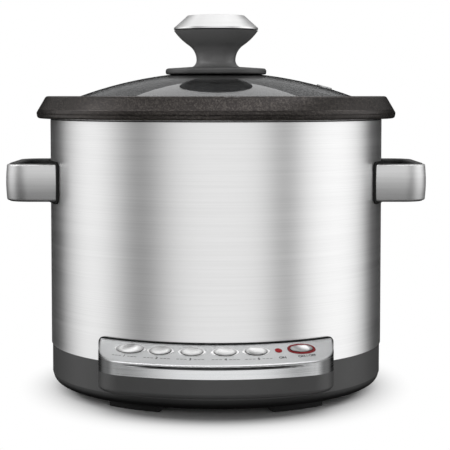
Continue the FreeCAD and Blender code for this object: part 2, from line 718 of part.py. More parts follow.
def control_board():
    """Curved strip of circuit board, square to the press direction."""
    strip = board_slab(BOARD_TOP - BOARD_THICKNESS, BOARD_TOP)
    strip = strip.common(panel_prism(BOARD_INSET, 0, SHELL_TOP)).cut(fascia_back())
    return strip.cut([screw_shank(spot) for spot in board_screw_spots()])


def tact_switch(degrees):
    """Push switch under one button."""
    low = BOARD_TOP - slope_point(degrees)[2]
    half = SWITCH_SIZE / 2
    body = block(-half, half, -half, half, low, low + SWITCH_BODY)
    plunger = drum(SWITCH_PLUNGER_R, low + SWITCH_BODY, low + SWITCH_BODY + SWITCH_PLUNGER)
    return on_slope(joined([body, plunger]), degrees)


def indicator_lamp():
    """Lamp on the board under the red lens."""
    low = BOARD_TOP - slope_point(LIGHT_DEG)[2]
    return on_slope(drum(LED_R, low, low + LED_HEIGHT), LIGHT_DEG)


def board_screws():
    """Small screws of the control board and the power board."""
    screws = []
    for spot in board_screw_spots():
        shank = Part.makeCylinder(SMALL_SCREW_R, BOARD_THICKNESS + SMALL_BITE, spot, PRESS * -1)
        head = Part.makeCylinder(SMALL_HEAD_R, SMALL_HEAD, spot, PRESS)
        screws.append(joined([shank, head]))
    top = POWER_BOARD_Z + BOARD_THICKNESS
    for x, y in power_post_spots():
        shank = drum(SMALL_SCREW_R, POWER_BOARD_Z - SMALL_BITE, top, x, y)
        screws.append(joined([shank, drum(SMALL_HEAD_R, top, top + SMALL_HEAD, x, y)]))
    return screws


def inner_liner():
    """Drawn liner that hangs by its flange from the shell's top, with a hole for the sensor and leads."""
    top = SHELL_TOP + LINER_WALL
    inner = LINER_R - LINER_WALL
    floor = LINER_FLOOR + LINER_WALL
    flange = BODY_R - LINER_FLANGE_INSET
    pan = revolved([(LINER_HOLE_R, LINER_FLOOR, 0), (LINER_R, LINER_FLOOR, LINER_CORNER_R),
                    (LINER_R, SHELL_TOP, 0), (flange, SHELL_TOP, 0), (flange, top, 0), (inner, top, 0),
                    (inner, floor, LINER_CORNER_R - LINER_WALL), (LINER_HOLE_R, floor, 0)])
    holes = [drum(LEAD_HOLE_R, LINER_FLOOR - OVERCUT, floor + OVERCUT, x, y) for x, y in terminal_spots()]
    return pan.cut(holes)


def top_ring():
    """Insulating ring under the bowl's rim, an upright wall with a lip turned in at its top."""
    low = SHELL_TOP + LINER_WALL
    outer = BODY_R - RING_INSET
    lip = COLLAR_R + RING_CLEARANCE
    return revolved([(outer - RING_WALL, low, 0), (outer, low, 0), (outer, RING_TOP, 0), (lip, RING_TOP, 0),
                     (lip, RING_TOP - RING_WALL, 0), (outer - RING_WALL, RING_TOP - RING_WALL, 0)])


def terminal_spots():
    """Plan places of the element's two ends, at the back."""
    turn = math.radians(ELEMENT_OPENING_DEG / 2)
    x = ELEMENT_RING_R * math.sin(turn)
    y = ELEMENT_RING_R * math.cos(turn)
    return [(-x, y), (x, y)]


def heater_plate():
    """Cast disc with a groove for the element underneath and a hole for the sensor."""
    hole = SENSOR_R + SENSOR_HOLE_GAP
    plate = revolved([(hole, HEATER_Z, 0), (HEATER_R, HEATER_Z, 0), (HEATER_R, HEATER_TOP, 2 * SEAT_GAP),
                      (hole, HEATER_TOP, 0)])
    groove = Part.makeTorus(ELEMENT_RING_R, ELEMENT_TUBE_R + GLUE_LINE, V(0, 0, HEATER_Z))
    return plate.cut(groove)


def heating_element():
    """Open ring of sheathed element, half let into the plate, with a terminal down from each end."""
    span = 360 - ELEMENT_OPENING_DEG
    tube = Part.makeTorus(ELEMENT_RING_R, ELEMENT_TUBE_R, V(0, 0, HEATER_Z), UP, -180, 180, span)
    tube = around(tube, 90 + ELEMENT_OPENING_DEG / 2)
    low = HEATER_Z - ELEMENT_TUBE_R - TERMINAL_LENGTH
    pins = [drum(TERMINAL_R, low, HEATER_Z, x, y) for x, y in terminal_spots()]
    return joined([tube] + pins)


def heater_posts():
    """Three posts between the liner's floor and the heater plate."""
    post = drum(HEATER_POST_R, LINER_FLOOR + LINER_WALL, HEATER_Z, 0, HEATER_POST_RING_R)
    return [around(post, 60 + 120 * index) for index in range(3)]


def thermal_fuse():
    """Small cut-out capsule held flat under the heater plate."""
    start = V(-FUSE_LENGTH / 2, FUSE_Y, HEATER_Z - FUSE_R - GLUE_LINE)
    return Part.makeCylinder(FUSE_R, FUSE_LENGTH, start, RIGHT)


SENSOR_PLATE_TOP = LINER_FLOOR + LINER_WALL + SENSOR_PLATE
SENSOR_TOP = BOWL_Z - LIFT_GAP
SENSOR_CAP_Z = SENSOR_TOP - SENSOR_CAP_HEIGHT
SENSOR_CLIP_Z = LINER_FLOOR + LINER_WALL - SEAT_GAP - SENSOR_CLIP


def sensor_bracket():
    """Plate over the liner's middle hole that guides the sensor's stem."""
    return ring(SENSOR_STEM_R + RUNNING_FIT, LINER_HOLE_R + SENSOR_PLATE_OVERLAP,
                LINER_FLOOR + LINER_WALL, SENSOR_PLATE_TOP)


def sensor_cap():
    """Round feeler that meets the bowl, on a guided stem."""
    low = SENSOR_CLIP_Z - SENSOR_CLIP
    return revolved([(0, low, 0), (SENSOR_STEM_R, low, 0), (SENSOR_STEM_R, SENSOR_CAP_Z, 0),
                     (SENSOR_R, SENSOR_CAP_Z, 0), (SENSOR_R, SENSOR_TOP, SENSOR_CAP_HEIGHT / 3),
                     (0, SENSOR_TOP, 0)])


def sensor_clip():
    """Ring on the stem under the bracket, which stops the sensor at its top."""
    return ring(SENSOR_STEM_R + GLUE_LINE, SENSOR_STEM_R + SENSOR_CLIP_WIDTH, SENSOR_CLIP_Z,
                SENSOR_CLIP_Z + SENSOR_CLIP)


def sensor_spring():
    """Coil between the bracket and the sensor's cap, in quarter-turn arcs along a helix."""
    radius = SENSOR_STEM_R + 3 * SPRING_WIRE_R
    low = SENSOR_PLATE_TOP + SPRING_WIRE_R + SEAT_GAP
    rise = SENSOR_CAP_Z - SEAT_GAP - SPRING_WIRE_R - low
    quarters = 4 * SPRING_TURNS

    def spot(step):
        turn = step * math.pi / 2
        return V(radius * math.cos(turn), radius * math.sin(turn), low + rise * step / quarters)

    arcs = [Part.Arc(spot(step), spot(step + 0.5), spot(step + 1)).toShape() for step in range(quarters)]
    lead = arcs[0].tangentAt(arcs[0].FirstParameter)
    circle = Part.Wire(Part.makeCircle(SPRING_WIRE_R, spot(0), lead))
    return Part.Wire(arcs).makePipeShell([circle], True, False)


def power_board():
    """Flat board on the plinth's posts."""
    x = POWER_BOARD_X / 2
    y = POWER_BOARD_Y / 2
    sheet = block(-x, x, POWER_BOARD_CENTRE_Y - y, POWER_BOARD_CENTRE_Y + y,
                  POWER_BOARD_Z, POWER_BOARD_Z + BOARD_THICKNESS)
    return sheet.cut([drum(SMALL_SCREW_R + GLUE_LINE, 0, SHELL_Z, x, y) for x, y in power_post_spots()])


def board_block(size, place):
    """Moulded component standing on the power board."""
    long, deep, high = size
    x, y = place
    low = POWER_BOARD_Z + BOARD_THICKNESS
    body = block(x - long / 2, x + long / 2, y - deep / 2, y + deep / 2, low, low + high)
    uprights = [edge for edge in body.Edges if edge.BoundBox.ZLength > high / 2]
    return body.makeFillet(COMPONENT_EDGE_R, uprights)


def bent_lead(start, corner, end):
    """Insulated lead of two straight runs joined by a quarter-turn bend."""
    back = (start - corner).normalize()
    ahead = (end - corner).normalize()
    bend_in = corner + back * LEAD_BEND_R
    bend_out = corner + ahead * LEAD_BEND_R
    section = Part.Face(Part.Wire(Part.makeCircle(LEAD_R, bend_in, back)))
    bend = section.revolve(bend_in + ahead * LEAD_BEND_R, back.cross(ahead), -90)
    runs = [Part.makeCylinder(LEAD_R, (start - bend_in).Length, start, back * -1),
            Part.makeCylinder(LEAD_R, (end - bend_out).Length, bend_out, ahead)]
    return joined(runs + [bend])


def heater_leads():
    """Straight leads from the power board up to the element's terminals."""
    low = POWER_BOARD_Z + BOARD_THICKNESS
    high = HEATER_Z - ELEMENT_TUBE_R - TERMINAL_LENGTH
    return [drum(LEAD_R, low, high, x, y) for x, y in terminal_spots()]


def panel_lead():
    """Lead from the back of the control board down into the base and back to the power board."""
    y = -BASE_R - LEAD_R - PANEL_GASKET - LEAD_BEND_R
    under = (BOARD_TOP - BOARD_THICKNESS + y * math.sin(SLOPE)) / math.cos(SLOPE)
    run = POWER_BOARD_Z + BOARD_THICKNESS + LEAD_BEND_R + LEAD_R
    start = V(0, y, under - LEAD_R * math.tan(SLOPE))
    turn = V(0, PANEL_LEAD_Y, run)
    half_way = V(0, (y + PANEL_LEAD_Y) / 2, run)
    first = bent_lead(start, V(0, y, run), half_way)
    second = bent_lead(half_way, turn, V(0, PANEL_LEAD_Y, POWER_BOARD_Z + BOARD_THICKNESS))
    return joined([first, second])


def inlet_prism(inset, y_from, y_to):
    """Inlet's opening, a rectangle with two corners cut off, between two places along Y."""
    x = INLET_HALF_WIDTH - inset
    z = INLET_HALF_HEIGHT - inset
    cut = INLET_CHAMFER
    corners = [(-x, -z, 0), (x, -z, 0), (x, z - cut, 0), (x - cut, z, 0), (cut - x, z, 0), (-x, z - cut, 0)]
    face = rounded_face(corners, lambda a, b: V(a, y_from, INLET_Z + b))
    return face.extrude(V(0, y_to - y_from, 0))


def inlet_socket():
    """Power inlet with a flange on the block's face and a recess for the plug."""
    back = TOWER_Y - INLET_DEPTH
    body = block(-INLET_HALF_WIDTH, INLET_HALF_WIDTH, back - INLET_WALL, TOWER_Y,
                 INLET_Z - INLET_HALF_HEIGHT, INLET_Z + INLET_HALF_HEIGHT)
    x = INLET_HALF_WIDTH + INLET_FLANGE
    z = INLET_HALF_HEIGHT + INLET_FLANGE
    flange = block(-x, x, TOWER_Y, TOWER_Y + INLET_FLANGE_THICK, INLET_Z - z, INLET_Z + z)
    uprights = [edge for edge in flange.Edges if edge.BoundBox.YLength > INLET_FLANGE_THICK / 2]
    flange = flange.makeFillet(INLET_FLANGE, uprights)
    recess = inlet_prism(INLET_WALL, back, TOWER_Y * 2)
    slots = [inlet_pin(x, GLUE_LINE) for x in inlet_pin_places()]
    return joined([body, flange]).cut([recess] + slots)


def inlet_pin_places():
    return (-PIN_PITCH, 0.0, PIN_PITCH)


def inlet_pin(x, grow):
    """Flat contact blade through the inlet's back wall; grow is its slot's clearance."""
    half = PIN_WIDTH / 2 + grow
    low = INLET_Z + PIN_RISE - PIN_HEIGHT / 2 - grow
    back = TOWER_Y - INLET_DEPTH - INLET_WALL - PIN_SHORT
    return block(x - half, x + half, back, TOWER_Y - PIN_SHORT, low, low + PIN_HEIGHT + 2 * grow)


def inlet_leads():
    """Leads from the inlet's outer blades to the power board."""
    start_y = TOWER_Y - INLET_DEPTH - INLET_WALL - PIN_SHORT
    height = INLET_Z + PIN_RISE
    leads = []
    for x in (-PIN_PITCH, PIN_PITCH):
        corner = V(x, INLET_LEAD_Y, height)
        end = V(x, INLET_LEAD_Y, POWER_BOARD_Z + BOARD_THICKNESS)
        leads.append(bent_lead(V(x, start_y, height), corner, end))
    return leads


def base_screws():
    """Pan-head screws up through the plinth into the base's bosses."""
    y = -boss_ring_r()
    shank = drum(SCREW_R, COVER_Z, COVER_Z + PLINTH_WALL + SCREW_BITE, 0, y)
    screw = joined([shank, drum(SCREW_HEAD_R, COVER_Z - SCREW_HEAD, COVER_Z, 0, y)])
    return [around(screw, degrees) for degrees in BASE_SCREW_DEGS]


def handle_loop(corners):
    """U-shaped sweep of a section of (distance outwards, height, corner radius) round the right handle."""
    bend_x = HANDLE_R - HANDLE_CORNER_R
    bend_y = HANDLE_HALF_SPAN - HANDLE_CORNER_R
    leg_face = rounded_face(corners, lambda d, z: V(bend_x, -HANDLE_HALF_SPAN - d, HANDLE_MID_Z + z))
    end_face = rounded_face(corners, lambda d, z: V(HANDLE_R + d, -bend_y, HANDLE_MID_Z + z))
    leg = leg_face.extrude(V(LINER_R - bend_x, 0, 0))
    bend = leg_face.revolve(V(bend_x, -bend_y, 0), UP, 90)
    end = end_face.extrude(V(0, 2 * bend_y, 0))
    pieces = [leg, bend, end, bend.mirror(V(0, 0, 0), BACK), leg.mirror(V(0, 0, 0), BACK)]
    return joined(pieces).cut(drum(BODY_R + HANDLE_GASKET + GLUE_LINE, 0, SHELL_TOP))


def crown_r(half):
    """Radius that rounds most of a crowned face of a given half height."""
    return HANDLE_CROWN_SHARE * half ** 2 / HANDLE_CROWN


def handle_band():
    """Pressed steel channel round the outside of the handle, crowned and folded back at its edges."""
    half = HANDLE_HEIGHT / 2
    wall = HANDLE_BAND_WALL
    fold = -HANDLE_BAND_FOLD
    crown = -HANDLE_CROWN
    edge = HANDLE_BAND_EDGE_R
    core = half - wall
    outside = [(fold, -half, 0), (crown, -half, edge), (0, 0, crown_r(half)), (crown, half, edge),
               (fold, half, 0)]
    inside = [(fold, core, 0), (crown - wall, core, edge - wall), (-wall, 0, crown_r(core)),
              (crown - wall, -core, edge - wall), (fold, -core, 0)]
    return handle_loop(outside + inside)


def handle_grip():
    """Moulded black grip that fills the steel channel and forms the inside of the loop."""
    fold = -HANDLE_BAND_FOLD - HANDLE_FIT
    top = HANDLE_HEIGHT / 2 + HANDLE_GRIP_PROUD
    core = HANDLE_HEIGHT / 2 - HANDLE_BAND_WALL - HANDLE_FIT
    face = -HANDLE_CROWN - HANDLE_BAND_WALL - HANDLE_FIT
    edge = HANDLE_GRIP_EDGE_R
    outline = [(-HANDLE_LEG, -top, edge), (fold, -top, HANDLE_GRIP_PROUD), (fold, -core, 0),
               (face, -core, 0), (face, core, 0), (fold, core, 0),
               (fold, top, HANDLE_GRIP_PROUD), (-HANDLE_LEG, top, edge)]
    return handle_loop(outline).cut(handle_screw_holes())


def handle_gasket():
    """Dark plate that hugs the steel behind the right handle's legs."""
    half = HANDLE_HALF_SPAN + HANDLE_GASKET_SHOW
    rise = HANDLE_HEIGHT / 2 + HANDLE_GASKET_SHOW
    corner = HANDLE_GASKET_CORNER_R
    face = rounded_face([(-half, -rise, corner), (half, -rise, corner), (half, rise, corner),
                         (-half, rise, corner)], lambda y, z: V(0, y, HANDLE_MID_Z + z))
    plate = ring(BODY_R + GLUE_LINE, BODY_R + HANDLE_GASKET, 0, SHELL_TOP)
    return plate.common(face.extrude(V(HANDLE_R, 0, 0))).cut(handle_screw_holes())


def handle_screw_turns():
    """Turns from +X of the two screws of a handle, which point out through the middle of its legs."""
    face = HANDLE_CROWN + HANDLE_BAND_WALL + HANDLE_FIT
    middle = HANDLE_HALF_SPAN - (HANDLE_LEG + face) / 2
    turn = math.degrees(math.asin(middle / (BODY_R + HANDLE_GASKET + HANDLE_SCREW_BITE / 2)))
    return (-turn, turn)


def handle_screw_holes():
    """Clearance for the shanks of all four handle screws."""
    shank = Part.makeCylinder(SCREW_R + GLUE_LINE, BODY_R + HANDLE_GASKET + HANDLE_SCREW_BITE - LINER_R,
                              V(LINER_R, 0, HANDLE_MID_Z), RIGHT)
    return [around(shank, side + turn) for side in (0, 180) for turn in handle_screw_turns()]


def handle_screws():
    """Pan-head screws from inside the shell into the handles' legs."""
    seat = math.sqrt(SHELL_IN_R ** 2 - SCREW_HEAD_R ** 2)
    tip = BODY_R + HANDLE_GASKET + HANDLE_SCREW_BITE
    head = Part.makeCylinder(SCREW_HEAD_R, SCREW_HEAD, V(seat - SCREW_HEAD, 0, HANDLE_MID_Z), RIGHT)
    shank = Part.makeCylinder(SCREW_R, tip - seat, V(seat, 0, HANDLE_MID_Z), RIGHT)
    screw = joined([head, shank])
    return [around(screw, side + turn) for side in (0, 180) for turn in handle_screw_turns()]


def to_left(shape):
    """Left-hand copy of a right-hand piece."""
    return shape.mirror(V(0, 0, 0), RIGHT)


def cooking_bowl():
    """Cast bowl with a stepped seat for the lid and a broad rim that slopes down past the shell."""
    run = RIM_OVERHANG - RIM_FLAT
    fall = RIM_EDGE_DROP / run
    length = math.hypot(run, RIM_EDGE_DROP)
    under = BODY_R + RIM_FLAT - RIM_THICKNESS * (length - run) / RIM_EDGE_DROP
    low = RIM_TOP - RIM_DROP
    lip_in = RIM_R - RIM_TUCK - RIM_LIP
    lip_z = RIM_UNDER - (lip_in - under) * fall
    floor_r = BOWL_R - BOWL_TAPER
    ledge = SEAT_Z - BOWL_WALL
    return revolved([(0, BOWL_Z, 0), (floor_r, BOWL_Z, BOWL_CORNER_R), (BOWL_R, ledge, 0),
                     (COLLAR_R, ledge, 0), (COLLAR_R, RIM_UNDER, 0), (under, RIM_UNDER, 0),
                     (lip_in, lip_z, 0), (lip_in, low, 0), (RIM_R - RIM_TUCK, low, RIM_LIP_OUT_R),
                     (RIM_R, RIM_TOP - RIM_EDGE_DROP, RIM_EDGE_R),
                     (BODY_R + RIM_FLAT, RIM_TOP, BOWL_WALL), (SEAT_R, RIM_TOP, BOWL_WALL / 2),
                     (SEAT_R, SEAT_Z, 0), (BOWL_IN_R, SEAT_Z, BOWL_WALL / 2),
                     (floor_r - BOWL_WALL, BOWL_Z + BOWL_WALL, BOWL_CORNER_R - BOWL_WALL),
                     (0, BOWL_Z + BOWL_WALL, 0)])


def dome_point(radius, r):
    """Point of a dome of a given radius about the lid's centre of curvature."""
    return V(r, 0, DOME_Z + math.sqrt(radius ** 2 - r ** 2))


def on_dome(shape):
    """Moves a shape drawn upright about the origin to the steam vent, square to the glass."""
    lean = math.degrees(math.asin(VENT_X / DOME_R))
    shape.rotate(V(0, 0, 0), BACK, lean)
    shape.translate(dome_point(DOME_R, VENT_X))
    return shape


def lid_glass():
    """Domed glass with a hole for the knob's screw and one for the steam vent."""
    hole = SCREW_R * 2
    edge_in = GLASS_R * DOME_IN_R / DOME_R
    outer = [dome_point(DOME_R, r) for r in (hole, GLASS_R / 2, GLASS_R)]
    inner = [dome_point(DOME_IN_R, r) for r in (edge_in, GLASS_R / 2, hole)]
    wire = Part.Wire([Part.Arc(*outer).toShape(), Part.LineSegment(outer[2], inner[0]).toShape(),
                      Part.Arc(*inner).toShape(), Part.LineSegment(inner[2], outer[0]).toShape()])
    glass = Part.Face(wire).revolve(V(0, 0, 0), UP, 360)
    return glass.cut(on_dome(drum(VENT_HOLE_R, -2 * GLASS_THICKNESS, GLASS_THICKNESS)))


def lid_rim():
    """Steel channel round the glass, with a flat foot on the bowl's seat."""
    inner = LID_R - LID_BAND_WIDTH
    foot = SEAT_Z + SEAT_GAP
    top = [dome_point(DOME_R, r).z + LID_BAND_WALL for r in (inner, LID_R)]
    low = dome_point(DOME_IN_R, inner).z - LID_BAND_WALL
    band = revolved([(inner, low, 0), (inner + LID_BAND_FOOT, foot, 0), (LID_R, foot, LID_BAND_WALL),
                     (LID_R, top[1], LID_BAND_WALL), (inner, top[0], 0)])
    edge = GLASS_R + GLASS_SLOT
    deep = inner - LID_BAND_WIDTH
    slot_top = [dome_point(DOME_R, r).z + GLASS_SLOT for r in (deep, edge)]
    slot_low = [dome_point(DOME_IN_R, r).z - GLASS_SLOT for r in (deep, edge)]
    return band.cut(revolved([(deep, slot_low[0], 0), (edge, slot_low[1], 0), (edge, slot_top[1], 0),
                              (deep, slot_top[0], 0)]))


def vent_eyelet():
    """Steel grommet that lines the steam vent."""
    tube = VENT_HOLE_R - GLASS_SLOT
    low = -GLASS_THICKNESS - GLASS_SLOT
    grommet = revolved([(EYELET_BORE_R, low - EYELET_FLANGE, 0), (EYELET_FLANGE_R, low - EYELET_FLANGE, 0),
                        (EYELET_FLANGE_R, low, 0), (tube, low, 0), (tube, 0, 0), (EYELET_FLANGE_R, 0, 0),
                        (EYELET_FLANGE_R, EYELET_FLANGE, EYELET_EDGE_R),
                        (EYELET_BORE_R, EYELET_FLANGE, EYELET_EDGE_R)])
    return on_dome(grommet)


KNOB_BORE_R = SCREW_R + GLUE_LINE
GRIP_TOP = KNOB_Z + KNOB_TOP_Z
CAP_Z = GRIP_TOP + KNOB_SHADOW_GAP
CAP_CEILING = CAP_Z + CAP_HEIGHT - CAP_WALL
SEAL_LOW = DOME_Z + math.sqrt(DOME_IN_R ** 2 - SEAL_R ** 2) - GLUE_LINE - SEAL_THICKNESS
WASHER_LOW = SEAL_LOW - WASHER_THICKNESS
FOOT_CEILING = APEX_Z + SEAL_THICKNESS


def knob_seal():
    """Soft pad between the glass and the knob's foot, shaped to the dome."""
    outer = KNOB_FOOT_R - KNOB_FOOT_SKIRT - GLUE_LINE
    dome = [dome_point(DOME_R, r) + V(0, 0, GLUE_LINE) for r in (KNOB_BORE_R, outer / 2, outer)]
    top = [V(r, 0, FOOT_CEILING) for r in (outer, KNOB_BORE_R)]
    wire = Part.Wire([Part.Arc(*dome).toShape(), Part.LineSegment(dome[2], top[0]).toShape(),
                      Part.LineSegment(top[0], top[1]).toShape(),
                      Part.LineSegment(top[1], dome[0]).toShape()])
    return Part.Face(wire).revolve(V(0, 0, 0), UP, 360)


def knob_foot():
    """Round foot of the knob, a shallow cap over its seal."""
    inner = KNOB_FOOT_R - KNOB_FOOT_SKIRT
    edge = KNOB_Z - KNOB_FOOT_FALL
    return revolved([(KNOB_BORE_R, FOOT_CEILING, 0), (inner, FOOT_CEILING, 0), (inner, KNOB_FOOT_Z, 0),
                     (KNOB_FOOT_R, KNOB_FOOT_Z, KNOB_FOOT_SKIRT / 3),
                     (KNOB_FOOT_R, edge, KNOB_FOOT_SKIRT / 2), (KNOB_FLARE_R, KNOB_Z, 0),
                     (KNOB_BORE_R, KNOB_Z, 0)])


def waist_arc(r, z):
    """Arc from the knob's waist, where it is upright, to a point of the grip's outline."""
    rise = z - KNOB_WAIST_Z
    out = r - KNOB_WAIST_R
    radius = (out ** 2 + rise ** 2) / (2 * out)
    half = math.atan2(rise, radius - out) / 2
    start = V(KNOB_WAIST_R, 0, KNOB_Z + KNOB_WAIST_Z)
    middle = start + V(radius * (1 - math.cos(half)), 0, radius * math.sin(half))
    return Part.Arc(start, middle, V(r, 0, KNOB_Z + z)), 2 * half


def knob_grip():
    """Waisted grip with a flared foot and a bowl-shaped head that carries the cap on a spigot."""
    flare, flare_turn = waist_arc(KNOB_FLARE_R, 0)
    neck, neck_turn = waist_arc(KNOB_SHOULDER_R, KNOB_SHOULDER_Z)
    shoulder = V(KNOB_SHOULDER_R, 0, KNOB_Z + KNOB_SHOULDER_Z)
    rim = V(KNOB_TOP_R, 0, GRIP_TOP)
    chord = rim - shoulder
    bow = math.atan2(chord.z, chord.x) - (math.pi / 2 - neck_turn)
    sag = chord.Length / 2 * math.tan(bow / 2)
    middle = (shoulder + rim) * 0.5 + V(chord.z, 0, -chord.x).normalize() * sag
    spigot = [rim, V(KNOB_SPIGOT_R, 0, GRIP_TOP), V(KNOB_SPIGOT_R, 0, CAP_CEILING), V(0, 0, CAP_CEILING),
              V(0, 0, KNOB_Z), V(KNOB_FLARE_R, 0, KNOB_Z)]
    edges = [flare.toShape(), neck.toShape(), Part.Arc(shoulder, middle, rim).toShape()]
    edges += [Part.LineSegment(a, b).toShape() for a, b in zip(spigot, spigot[1:])]
    grip = Part.Face(Part.Wire(Part.__sortEdges__(edges))).revolve(V(0, 0, 0), UP, 360)
    return grip.cut(drum(KNOB_BORE_R, KNOB_Z - OVERCUT, KNOB_Z + KNOB_SCREW_BITE))


def knob_cap():
    """Spun metal cap: an upright edge, a cone and a slightly domed top."""
    top = CAP_Z + CAP_HEIGHT
    inner = KNOB_TOP_R - CAP_WALL
    line = [V(CAP_FLAT_R, 0, top), V(KNOB_TOP_R, 0, CAP_Z + CAP_EDGE), V(KNOB_TOP_R, 0, CAP_Z),
            V(inner, 0, CAP_Z), V(inner, 0, CAP_Z + CAP_EDGE / 2), V(CAP_FLAT_R - CAP_WALL, 0, CAP_CEILING),
            V(0, 0, CAP_CEILING), V(0, 0, top + CAP_DOME)]
    edges = [Part.LineSegment(a, b).toShape() for a, b in zip(line, line[1:])]
    crown_r = (CAP_FLAT_R ** 2 + CAP_DOME ** 2) / (2 * CAP_DOME)
    half_r = CAP_FLAT_R / 2
    half_way = top + CAP_DOME - crown_r + math.sqrt(crown_r ** 2 - half_r ** 2)
    edges.append(Part.Arc(line[-1], V(half_r, 0, half_way), line[0]).toShape())
    return Part.Face(Part.Wire(Part.__sortEdges__(edges))).revolve(V(0, 0, 0), UP, 360)


def glass_seal():
    """Soft washer under the glass."""
    return ring(KNOB_BORE_R, SEAL_R, SEAL_LOW, SEAL_LOW + SEAL_THICKNESS)


def knob_washer():
    """Steel washer under the soft one."""
    return ring(KNOB_BORE_R, SEAL_R, WASHER_LOW, SEAL_LOW)


def knob_screw():
    """Pan-head screw from inside the lid up into the knob's grip."""
    shank = drum(SCREW_R, WASHER_LOW, KNOB_Z + KNOB_SCREW_BITE)
    head = revolved([(0, WASHER_LOW - SCREW_HEAD, 0), (2 * SCREW_R, WASHER_LOW - SCREW_HEAD, SCREW_R / 2),
                     (2 * SCREW_R, WASHER_LOW, 0), (0, WASHER_LOW, 0)])
    return joined([shank, head])


os.makedirs("parts", exist_ok=True)

save("bottom_cover", bottom_cover())
save("feet", [foot(0, turn) for turn in foot_turns()])
save("base_moulding", base_moulding())
save("base_screws", base_screws())
save("steel_shell", steel_shell())
save("inner_liner", inner_liner())
save("top_ring", top_ring())
save("heater_plate", heater_plate())
save("heating_element", heating_element())
save("heater_posts", heater_posts())
save("thermal_fuse", thermal_fuse())
save("sensor_bracket", sensor_bracket())
save("sensor_spring", sensor_spring())
save("sensor_cap", sensor_cap())
save("sensor_clip", sensor_clip())
save("power_board", power_board())
save("relay", board_block(RELAY_SIZE, RELAY_PLACE))
save("transformer", board_block(TRANSFORMER_SIZE, TRANSFORMER_PLACE))
save("heater_leads", heater_leads())
save("panel_lead", panel_lead())
save("inlet_socket", inlet_socket())
save("inlet_pins", [inlet_pin(x, 0) for x in inlet_pin_places()])
save("inlet_leads", inlet_leads())
save("control_fascia", control_fascia())
save("panel_gasket", panel_gasket())
save("button_bezels", [button_bezel(degrees, size) for degrees, size in zip(FUNCTION_DEGS, FUNCTION_SIZES)])
save("light_ring", light_ring())
save("indicator_lens", indicator_lens())
save("indicator_lamp", indicator_lamp())
save("control_board", control_board())
save("tact_switches", [tact_switch(degrees) for degrees in ALL_DEGS])
save("board_screws", board_screws())
for number, (degrees, size) in enumerate(zip(FUNCTION_DEGS, FUNCTION_SIZES), start=1):
    save("function_button_%d" % number, button(degrees, size))
save("start_button", button(START_DEG, START_SIZE))
for name, piece in (("gasket", handle_gasket()), ("grip", handle_grip()), ("band", handle_band())):
    save("handle_" + name + "_right", piece)
    save("handle_" + name + "_left", to_left(piece))
save("handle_screws", handle_screws())
save("cooking_bowl", cooking_bowl())
save("lid_glass", lid_glass())
save("lid_rim", lid_rim())
save("vent_eyelet", vent_eyelet())
save("knob_seal", knob_seal())
save("knob_foot", knob_foot())
save("knob_grip", knob_grip())
save("knob_cap", knob_cap())
save("glass_seal", glass_seal())
save("knob_washer", knob_washer())
save("knob_screw", knob_screw())
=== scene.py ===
import json
import math

import bpy
import numpy as np
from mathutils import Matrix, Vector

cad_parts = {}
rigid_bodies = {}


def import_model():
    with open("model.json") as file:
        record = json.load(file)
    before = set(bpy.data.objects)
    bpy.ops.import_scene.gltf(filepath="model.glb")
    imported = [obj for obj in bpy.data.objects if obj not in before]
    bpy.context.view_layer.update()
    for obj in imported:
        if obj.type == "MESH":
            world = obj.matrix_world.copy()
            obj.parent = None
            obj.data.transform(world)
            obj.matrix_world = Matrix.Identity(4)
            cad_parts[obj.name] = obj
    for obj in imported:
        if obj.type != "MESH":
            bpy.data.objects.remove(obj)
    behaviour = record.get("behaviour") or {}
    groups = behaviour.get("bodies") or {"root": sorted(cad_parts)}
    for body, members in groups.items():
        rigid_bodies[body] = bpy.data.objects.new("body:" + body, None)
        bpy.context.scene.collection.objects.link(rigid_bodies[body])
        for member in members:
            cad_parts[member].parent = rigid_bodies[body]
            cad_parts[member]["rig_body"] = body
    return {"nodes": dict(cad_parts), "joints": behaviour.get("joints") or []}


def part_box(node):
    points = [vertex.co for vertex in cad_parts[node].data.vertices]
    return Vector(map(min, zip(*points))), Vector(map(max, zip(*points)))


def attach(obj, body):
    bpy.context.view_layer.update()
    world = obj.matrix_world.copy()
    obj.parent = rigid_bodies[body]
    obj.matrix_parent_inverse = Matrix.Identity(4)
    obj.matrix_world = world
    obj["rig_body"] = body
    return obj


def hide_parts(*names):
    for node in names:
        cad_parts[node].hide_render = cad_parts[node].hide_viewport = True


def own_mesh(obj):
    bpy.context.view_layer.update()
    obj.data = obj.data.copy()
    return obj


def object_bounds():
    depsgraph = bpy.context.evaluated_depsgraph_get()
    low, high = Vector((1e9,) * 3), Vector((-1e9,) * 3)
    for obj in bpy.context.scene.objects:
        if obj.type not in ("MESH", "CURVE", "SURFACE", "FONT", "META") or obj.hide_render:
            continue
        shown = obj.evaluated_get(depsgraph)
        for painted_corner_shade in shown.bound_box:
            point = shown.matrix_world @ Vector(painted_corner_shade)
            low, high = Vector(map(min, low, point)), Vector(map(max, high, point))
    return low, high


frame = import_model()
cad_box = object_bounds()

# Base moulding: the charcoal tray that carries everything, with a bulge under the control fascia.
# It is injection moulded in a satin plastic with a fine spark-eroded grain, and screwed to the
# plinth from below.


